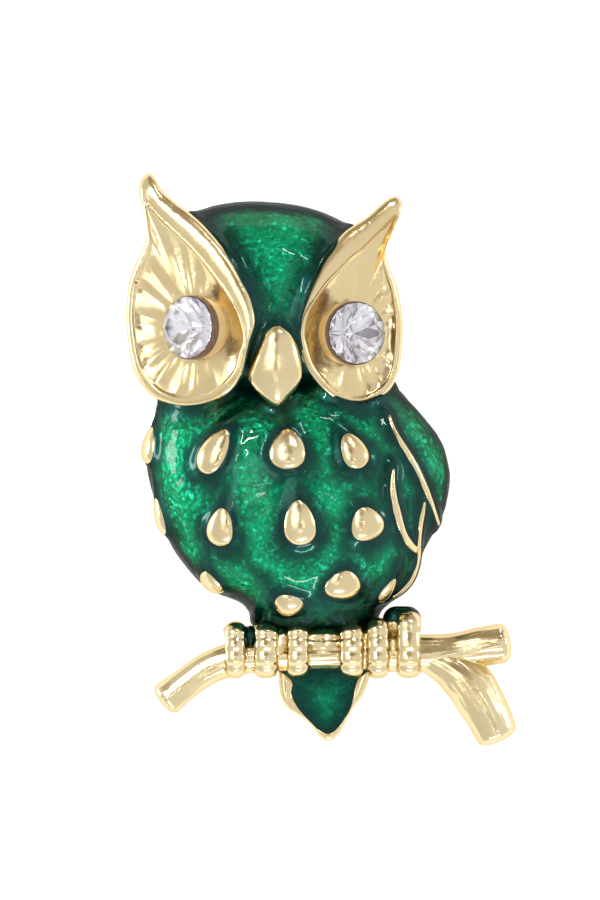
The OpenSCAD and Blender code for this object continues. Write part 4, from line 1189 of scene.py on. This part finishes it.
x0, x1 = toe_x[:2]
y0, y1 = branch_at[1] + 0.60 * BRANCH_D, branch_at[1] + 0.58 * BRANCH_D
xm = (x0 + x1) / 2
left_cap = fused("left_foot_glaze", drop_of_enamel(
    "cap0", x0 - 0.05, y0, BRANCH_Z + 0.55, 0.86, 0.42, 1.25), [
    drop_of_enamel("cap1", x1 + 0.05, y1, BRANCH_Z + 0.60, 0.92, 0.42, 1.25),
    drop_of_enamel("between", xm, y1 - 0.45, BRANCH_Z + 0.75, 0.48, 0.85, 1.0),
    drop_of_enamel("ledge", xm, y1 + 0.02, BRANCH_Z + 0.35, 1.5, 0.34, 0.9)])
right_cap = fused("right_foot_glaze", rounded_bar(
    "cap2", HEEL[0] * BODY_W, HEEL[1] * BODY_W, branch_at[1] + (HEEL[2] + 0.065) * BRANCH_D,
    BRANCH_Z, 1.06 * HEEL[3] * BRANCH_D, 48), [
    below("below", branch_at[1] + (HEEL[2] + 0.02) * BRANCH_D)], "DIFFERENCE")
foot_enamel = [left_cap, right_cap]
for piece in foot_enamel:
    keep(piece, "to_metal", 0.12)
    keep(piece, "clear", 0.7)

# %% [markdown]
# ## Cut stones
#
# The crystals are round stones with a foiled back. The crown has an eight-sided table, a ring
# of star facets, eight kites and a belt of small girdle facets. The pavilion is cut in the
# same rhythm and carries the foil, so a ray that enters the crown is thrown back and comes out
# elsewhere. Every facet stays flat, which is where the sparkle comes from.

# %% Stones
def cut_stone(side, name, grow=0.0):
    """A stone, or with grow the room for it. The second material is the foil."""
    at, _, _, az = stone_axis(side)
    r, g, e = STONE_D / 2 + grow, GIRDLE_T / 2 + grow, math.pi / 8
    rings = [stone_ring(side, *row) for row in (
        (TABLE_D / 2, g + CROWN_H, 8), (0.79 * r, g + 0.50 * CROWN_H, 8, e),
        (r, g, 16), (r, -g, 16), (0.50 * r, -g - 0.60 * PAVILION_H, 8, e))]
    verts = np.vstack([*rings, [at - (g + PAVILION_H) * az]])
    # where the points of table, kites, upper and lower girdle, pavilion and tip begin
    T, K, G, L, P, C = 0, 8, 16, 32, 48, 56
    crown = [tuple(T + i for i in range(8))]
    back = []
    for i in range(8):
        a, b, c = 2 * i, 2 * i + 1, (2 * i + 2) % 16
        n, m = (i + 1) % 8, (i - 1) % 8
        crown += [(T + i, K + i, T + n), (T + i, K + m, G + a, K + i), (K + i, G + a, G + b),
                  (K + i, G + b, G + c)]
        back += [(P + i, L + b, L + a), (P + i, L + c, L + b), (C, P + i, L + a, P + m)]
    belt = [(G + i, L + i, L + (i + 1) % 16, G + (i + 1) % 16) for i in range(16)]
    faces = crown + belt + back
    obj = new_piece(name, verts, faces)
    obj.data.polygons.foreach_set("use_smooth", [False] * len(faces))
    obj.data.polygons.foreach_set("material_index",
                                  [0] * (len(crown) + len(belt)) + [1] * len(back))
    # Painted reflection: some facets of the foil are painted dark, for the dark surroundings that
    # they mirror
    rng = np.random.default_rng(23 + side)
    shade = rng.choice([0.15, 0.85, 0.95, 1.0], len(faces), p=[0.12, 0.14, 0.3, 0.44])
    keep(obj, "shade", shade, "FACE")
    return obj


seats = [cut_stone(side, f"seat{side}", GAP) for side in (0, 1)]
casting = fused("owl_casting", casting, seats, "DIFFERENCE")
p = flat_points(casting)
# A mask of the dish floors, where the gold is painted warmer as a painted reflection of gold in
# gold
bowl = np.zeros(len(p))
for side, (wide, tall) in enumerate(DISH_SIZE):
    at, *ways = stone_axis(side)
    across, up, height = ((p - at) @ way for way in ways)
    near = np.exp(-(across / (0.36 * wide)) ** 4 - (up / (0.40 * tall)) ** 4)
    bowl = np.maximum(bowl, near * np.clip(2.2 - height, 0, 1) * (height > -4))
keep(casting, "bowl", bowl)
cups = [fused(cup.name, cup, [cut_stone(side, "seat", GAP)], "DIFFERENCE")
        for side, cup in enumerate(cups)]
for side, cup in enumerate(cups):
    at, _, _, az = stone_axis(side)
    height = (flat_points(cup) - at) @ az
    # Faces above the band of painted shade keep the brown; those below are bare metal
    bare = [height[list(face.vertices)].mean() < 0.005 - SHADE_BAND_H[side]
            for face in cup.data.polygons]
    cup.data.polygons.foreach_set("material_index", np.array(bare, int))
    print(cup.name, "faces of bare metal:", sum(bare), "of", len(bare))
stones = [cut_stone(0, "left_eye"), cut_stone(1, "right_eye")]
for stone in stones:
    report(stone)

# %% [markdown]
# ## Finishes
#
# Each finish is one node tree. The helpers put down the shader and the patterns that come
# back, and each material adds what its own surface shows. The pattern sizes are in metres, so
# a noise scale of 2000 gives specks of half a millimetre.

# %% Helpers for finishes
def material(name, **values):
    """A material with its Principled shader, and the object's own coordinates."""
    made = bpy.data.materials.new(name)
    made.use_nodes = True
    shader = made.node_tree.nodes["Principled BSDF"]
    give(shader, **values)
    return made, shader, node(made.node_tree, "ShaderNodeTexCoord").outputs["Object"]


def noise(place, scale, detail=2.0, roughness=0.5, distortion=0.0):
    return node(place.id_data, "ShaderNodeTexNoise", vector=place, scale=scale, detail=detail,
                roughness=roughness, distortion=distortion).outputs["Fac"]


def cells(place, scale, feature="F1", **named):
    return node(place.id_data, "ShaderNodeTexVoronoi", settings={"feature": feature},
                vector=place, scale=scale, **named).outputs


def attribute(place, name):
    return node(place.id_data, "ShaderNodeAttribute",
                settings={"attribute_name": name}).outputs["Fac"]


def ramp(factor, *stops):
    """A ramp of greys or colours, from pairs of position and value."""
    made = node(factor.id_data, "ShaderNodeValToRGB", factor)
    band = made.color_ramp.elements
    while len(band) < len(stops):
        band.new(0.5)
    for element, (at, value) in zip(band, stops):
        element.position = at
        element.color = (*(value if isinstance(value, tuple) else (value,) * 3), 1)
    return made.outputs["Color"]


def mixed(factor, a, b):
    made = node(factor.id_data, "ShaderNodeMix", factor, settings={"data_type": "RGBA"})
    fill(made.inputs[6], a)
    fill(made.inputs[7], b)
    return made.outputs[2]


def mottled(place, scale, detail, a, b):
    """Two colours, mixed by a noise."""
    return mixed(noise(place, scale, detail), a, b)


def uneven(place, scale, detail, *stops):
    """A noise, carried to the values of a ramp."""
    return ramp(noise(place, scale, detail), *stops)


def bump(height, depth, under=None, strength=1.0):
    return node(height.id_data, "ShaderNodeBump", strength=strength, distance=depth,
                height=height, normal=under).outputs["Normal"]


# %% [markdown]
# ### Gilt casting
#
# A pale gold plating over a tumbled casting. It is bright but never a perfect mirror: the surface
# keeps a slight orange peel and a few pits from the mould. Gold that mirrors gold looks deeper, and
# the petals of the dishes are not deep enough to show that, so the "bowl" attribute marks them for
# a painted reflection: their gold is painted warmer.

# %% Gold
gold, shader, place = material("pale gilt metal", metallic=1.0,
                               specular_tint=(0.84, 0.74, 0.54))
base = mixed(uneven(place, 260, 2, (0.35, 0.0), (0.70, 1.0)),
             (0.785, 0.66, 0.40), (0.755, 0.60, 0.325))
pit = cells(place, 520)
worn = calc("MULTIPLY", ramp(pit["Distance"], (0.03, 1.0), (0.085, 0.0)),
            ramp(pit["Color"], (0.62, 0.0), (0.66, 1.0)), clamp=True)
# Painted reflection: the dish floors are painted warmer, standing for gold mirrored in gold
painted_gold_reflection = ramp(attribute(place, "bowl"), (0.0, 0.0), (1.0, 0.85))
base = mixed(worn, mixed(painted_gold_reflection, base, (0.80, 0.625, 0.33)), (0.16, 0.10, 0.05))
peel = bump(noise(place, 800), 0.00005)
fine = bump(noise(place, 5200, 3), 0.000006, peel)
fine = bump(calc("SUBTRACT", 1.0, worn), 0.00003, fine)
give(shader, base_color=base, normal=fine,
     roughness=uneven(place, 900, 3, (0.30, 0.15), (0.75, 0.27)))

# %% [markdown]
# ### Green enamel
#
# The enamel is clear green glass over crumpled bright metal. The metal underneath makes the
# moving sparkles, and the glass on top stays smooth. One shader holds both: a rough metallic
# green base with a strong crinkled bump, and a clear coat that keeps the smooth surface.
# Bright flecks painted into the green base colour are painted glints, and the darkening by the
# attribute carries painted shade as well as depth.

# %% Enamel
enamel, shader, place = material("green glass enamel", metallic=0.9, coat_roughness=0.02,
                                 coat_ior=1.27, specular_tint=(0.05, 0.22, 0.17))
wander = calc("MULTIPLY_ADD", noise(place, 700), 0.5, -0.25)
# Darker where the enamel is thicker, and darker again by the painted shade that the attribute
# carries: on turned-away sides, below the drops and under the branch
deep = ramp(calc("ADD", attribute(place, "to_metal"), wander),
            (0.10, 0.0), (0.40, 0.16), (0.72, 0.62), (1.0, 1.0))
slow = ramp(noise(place, 330, 3, 0.6), (0.36, 0.0), (0.66, 1.0))
light = mixed(slow, (0.0, 0.16, 0.064), (0.003, 0.32, 0.138))
# Painted glints: bright flecks in patches, painted into the green for the sparkle of the crumpled
# metal under it
flecks = ramp(cells(place, 3000)["Color"], (0.55, 0.0), (0.95, 1.0))
patches = ramp(noise(place, 900, 3, 0.65), (0.46, 0.0), (0.64, 1.0))
painted_glint = calc("MULTIPLY", flecks, patches, clamp=True)
light = mixed(painted_glint, light, (0.03, 0.85, 0.44))
crinkle = cells(place, 2100, "SMOOTH_F1", smoothness=0.35)["Distance"]
under = bump(crinkle, 0.00018, strength=deep)
under = bump(noise(place, 3600, 3, 0.6, 0.6), 0.00007, under, deep)
give(shader, base_color=mixed(deep, (0.002, 0.036, 0.031), light), normal=under,
     roughness=uneven(place, 2400, 2, (0.3, 0.24), (0.7, 0.42)),
     coat_weight=ramp(attribute(place, "clear"), (0.0, 0.0), (1.0, 1.0)))

# %% [markdown]
# ### Stones, foil and painted shade
#
# The crown is plain clear glass. The pavilion is its foil, a bright mirror with a hint of lilac,
# whose darker facets are a painted reflection. Each cup is dull gilt below and painted dark brown
# above, as painted shade, which shows as a dark crescent at one side of the stone.

# %% Stones, and painted shade on the cups
crystal, shader, place = material("clear crystal", roughness=0.0, ior=1.56,
                                  transmission_weight=1.0)
give(shader, base_color=mottled(place, 300, 1, (0.99, 0.98, 1.0), (0.96, 0.95, 0.99)))
foil, shader, place = material("silver foil", metallic=1.0)
silver = mottled(place, 900, 2, (0.99, 0.98, 1.0), (0.95, 0.94, 0.97))
# Painted reflection: the facets that this attribute marks are darker, for the dark surroundings
# mirrored in the foil
give(shader, base_color=mixed(attribute(place, "shade"), (0.24, 0.23, 0.26), silver),
     roughness=uneven(place, 1500, 2, (0.3, 0.10), (0.7, 0.24)))
# Painted shade: dark brown for the bezel's side in shadow beside each stone
bezel_shade, shader, place = material("brown cement")
give(shader, base_color=mottled(place, 1800, 3, (0.085, 0.040, 0.024), (0.21, 0.12, 0.075)),
     roughness=uneven(place, 2600, 2, (0.3, 0.30), (0.7, 0.55)),
     normal=bump(noise(place, 2600, 3), 0.00004))
dull, shader, place = material("dull gilt", metallic=0.45)
give(shader, base_color=mottled(place, 900, 3, (0.92, 0.79, 0.52), (0.86, 0.70, 0.42)),
     roughness=uneven(place, 2600, 2, (0.3, 0.30), (0.7, 0.50)),
     normal=bump(noise(place, 2200, 3), 0.00003))

# %% [markdown]
# ## Hand each piece its place
#
# Every piece rides on the only body. The fine casting takes the place of the plain solid of
# the same name, and so do the enamels and the stones. The pin on the back is a plain part that
# is right as it is, so it only gets the gold.

# %% Ride and replace
def dress(obj, *finishes, replaces=(), slot=None):
    index = np.zeros(len(obj.data.polygons), np.int32)
    obj.data.polygons.foreach_get("material_index", index)
    obj.data.materials.clear()
    for finish in finishes:
        obj.data.materials.append(finish)
    obj.data.polygons.foreach_set("material_index", index if len(finishes) > 1 else index * 0)
    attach(obj, "root")
    if replaces:
        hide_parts(*replaces)
    print(f"{obj.name}: {len(index)} faces, " + ", ".join(finish.name for finish in finishes))


dress(casting, gold, replaces=["casting"], slot="gilt_metal")
for cup in cups:
    dress(cup, bezel_shade, dull, slot="gilt_metal")
for word, piece in (("body", body_enamel), ("head", head_enamel), ("tail", tail_enamel)):
    dress(piece, enamel, replaces=[f"{word}_enamel"], slot="green_enamel")
for word, piece in zip(("left", "right"), foot_enamel):
    dress(piece, enamel, replaces=[f"{word}_foot_enamel"], slot="dark_enamel")
for word, stone in zip(("left", "right"), stones):
    dress(stone, crystal, foil, replaces=[f"{word}_eye_stone"], slot="clear_stone")
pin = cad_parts["brooch_pin"]
pin.data.materials.clear()
pin.data.materials.append(gold)

# %% [markdown]
# ## Table, light and camera
#
# Polished metal shows little but its surroundings, so the light is mostly an even pale sky with
# a bright panel in it and a few low strips. The thin strips draw the fine white lines in the
# enamel. The lens is long and looks straight down on the flat drawing, so that the sizes keep
# what they have on it.

# %% Table and lights
table = new_piece("table", [(-2, -2, 0), (2, -2, 0), (2, 2, 0), (-2, 2, 0)], [(0, 1, 2, 3)], False)
white, shader, place = material("white table", roughness=0.9, emission_strength=0.70,
                                emission_color=(1, 1, 1))
give(shader, base_color=mottled(place, 40, 2, (0.56, 0.56, 0.56), (0.54, 0.54, 0.54)))
table.data.materials.append(white)


def area_light(name, place, wide, tall, watts):
    """A rectangle of light that faces the brooch."""
    light = bpy.data.lights.new(name, "AREA")
    light.shape = "RECTANGLE"
    light.size, light.size_y, light.energy = wide, tall, watts
    obj = bpy.data.objects.new(name, light)
    bpy.context.scene.collection.objects.link(obj)
    obj.location = place
    obj.rotation_euler = (Vector(AIM) - Vector(place)).to_track_quat("-Z", "Y").to_euler()


AIM = (0, 0, 0.004)
# name, place, width, height and watts
for row in (("left_panel", (-0.50, 0.06, 0.045), 0.27, 0.10, 1.1),
            ("right_strip", (0.48, 0.10, 0.10), 0.12, 0.05, 0.3),
            ("feet_strip", (0.06, -0.46, 0.24), 0.22, 0.03, 0.6),
            ("top_strip", (0.16, 0.40, 0.36), 0.14, 0.02, 0.4),
            ("upper_left", (-0.20, 0.22, 0.44), 0.16, 0.010, 0.5),
            ("window_left", (-0.12, -0.02, 0.46), 0.004, 0.11, 0.035),
            ("window_right", (0.10, -0.06, 0.46), 0.004, 0.11, 0.035),
            ("window_low", (0.0, -0.20, 0.42), 0.13, 0.004, 0.02)):
    area_light(*row)


def toward(tree, way, *stops):
    """A ramp over how far a direction of the sky points along the given way."""
    seen = node(tree, "ShaderNodeTexCoord").outputs["Generated"]
    along = node(tree, "ShaderNodeVectorMath", seen, Vector(way).normalized(),
                 settings={"operation": "DOT_PRODUCT"}).outputs["Value"]
    return ramp(calc("MULTIPLY_ADD", along, 0.5, 0.5), *stops)


world = bpy.data.worlds.new("studio")
world.use_nodes = True
tree = world.node_tree
sky = toward(tree, (0.90, -0.40, 0.15), (0.0, (0.76, 0.76, 0.75)), (0.35, (0.82, 0.82, 0.82)),
             (0.60, (0.87, 0.87, 0.88)), (1.0, (0.94, 0.94, 0.95)))
# a bright panel at the upper left, a dark patch that marks the drops, the darker lens over the
# brooch, and a gap in the tent behind its head: way, edge outside and inside, colour
for way, outside, inside, colour in (
        ((-0.30, 0.03, 0.95), 0.972, 0.987, (2.2, 2.2, 2.2)),
        ((0.03, 0.42, 0.91), 0.983, 0.991, (0.30, 0.25, 0.20)),
        ((0.02, -0.10, 1.0), 0.985, 0.996, (0.38, 0.36, 0.34)),
        ((0.10, 0.86, 0.50), 0.895, 0.950, (0.40, 0.34, 0.27))):
    sky = mixed(toward(tree, way, (outside, 0.0), (inside, 1.0)), sky, colour)
give(tree.nodes["Background"], color=sky, strength=1.0)
bpy.context.scene.world = world
bpy.context.scene.view_settings.view_transform = "Standard"

# %% Camera
LENS, SENSOR = 300.0, 36.0
# Height of the picture and its middle on the flat drawing, in mm
PHOTO_HIGH, PHOTO_MIDDLE = 68.85, [0.2295, 3.5955, 4.0]
target = Vector(lay(PHOTO_MIDDLE)[0])
away = Vector((0, -math.sin(TILT), math.cos(TILT)))
up = Vector((0, math.cos(TILT), math.sin(TILT)))
lens = bpy.data.cameras.new("camera")
lens.lens, lens.sensor_width, lens.clip_start = LENS, SENSOR, 0.01
camera = bpy.data.objects.new("camera", lens)
bpy.context.scene.collection.objects.link(camera)
turned = Matrix([Vector((1, 0, 0)), up, away]).transposed().to_4x4()
camera.matrix_world = Matrix.Translation(target + away * (PHOTO_HIGH * MM * LENS / SENSOR)) @ turned
bpy.context.scene.camera = camera
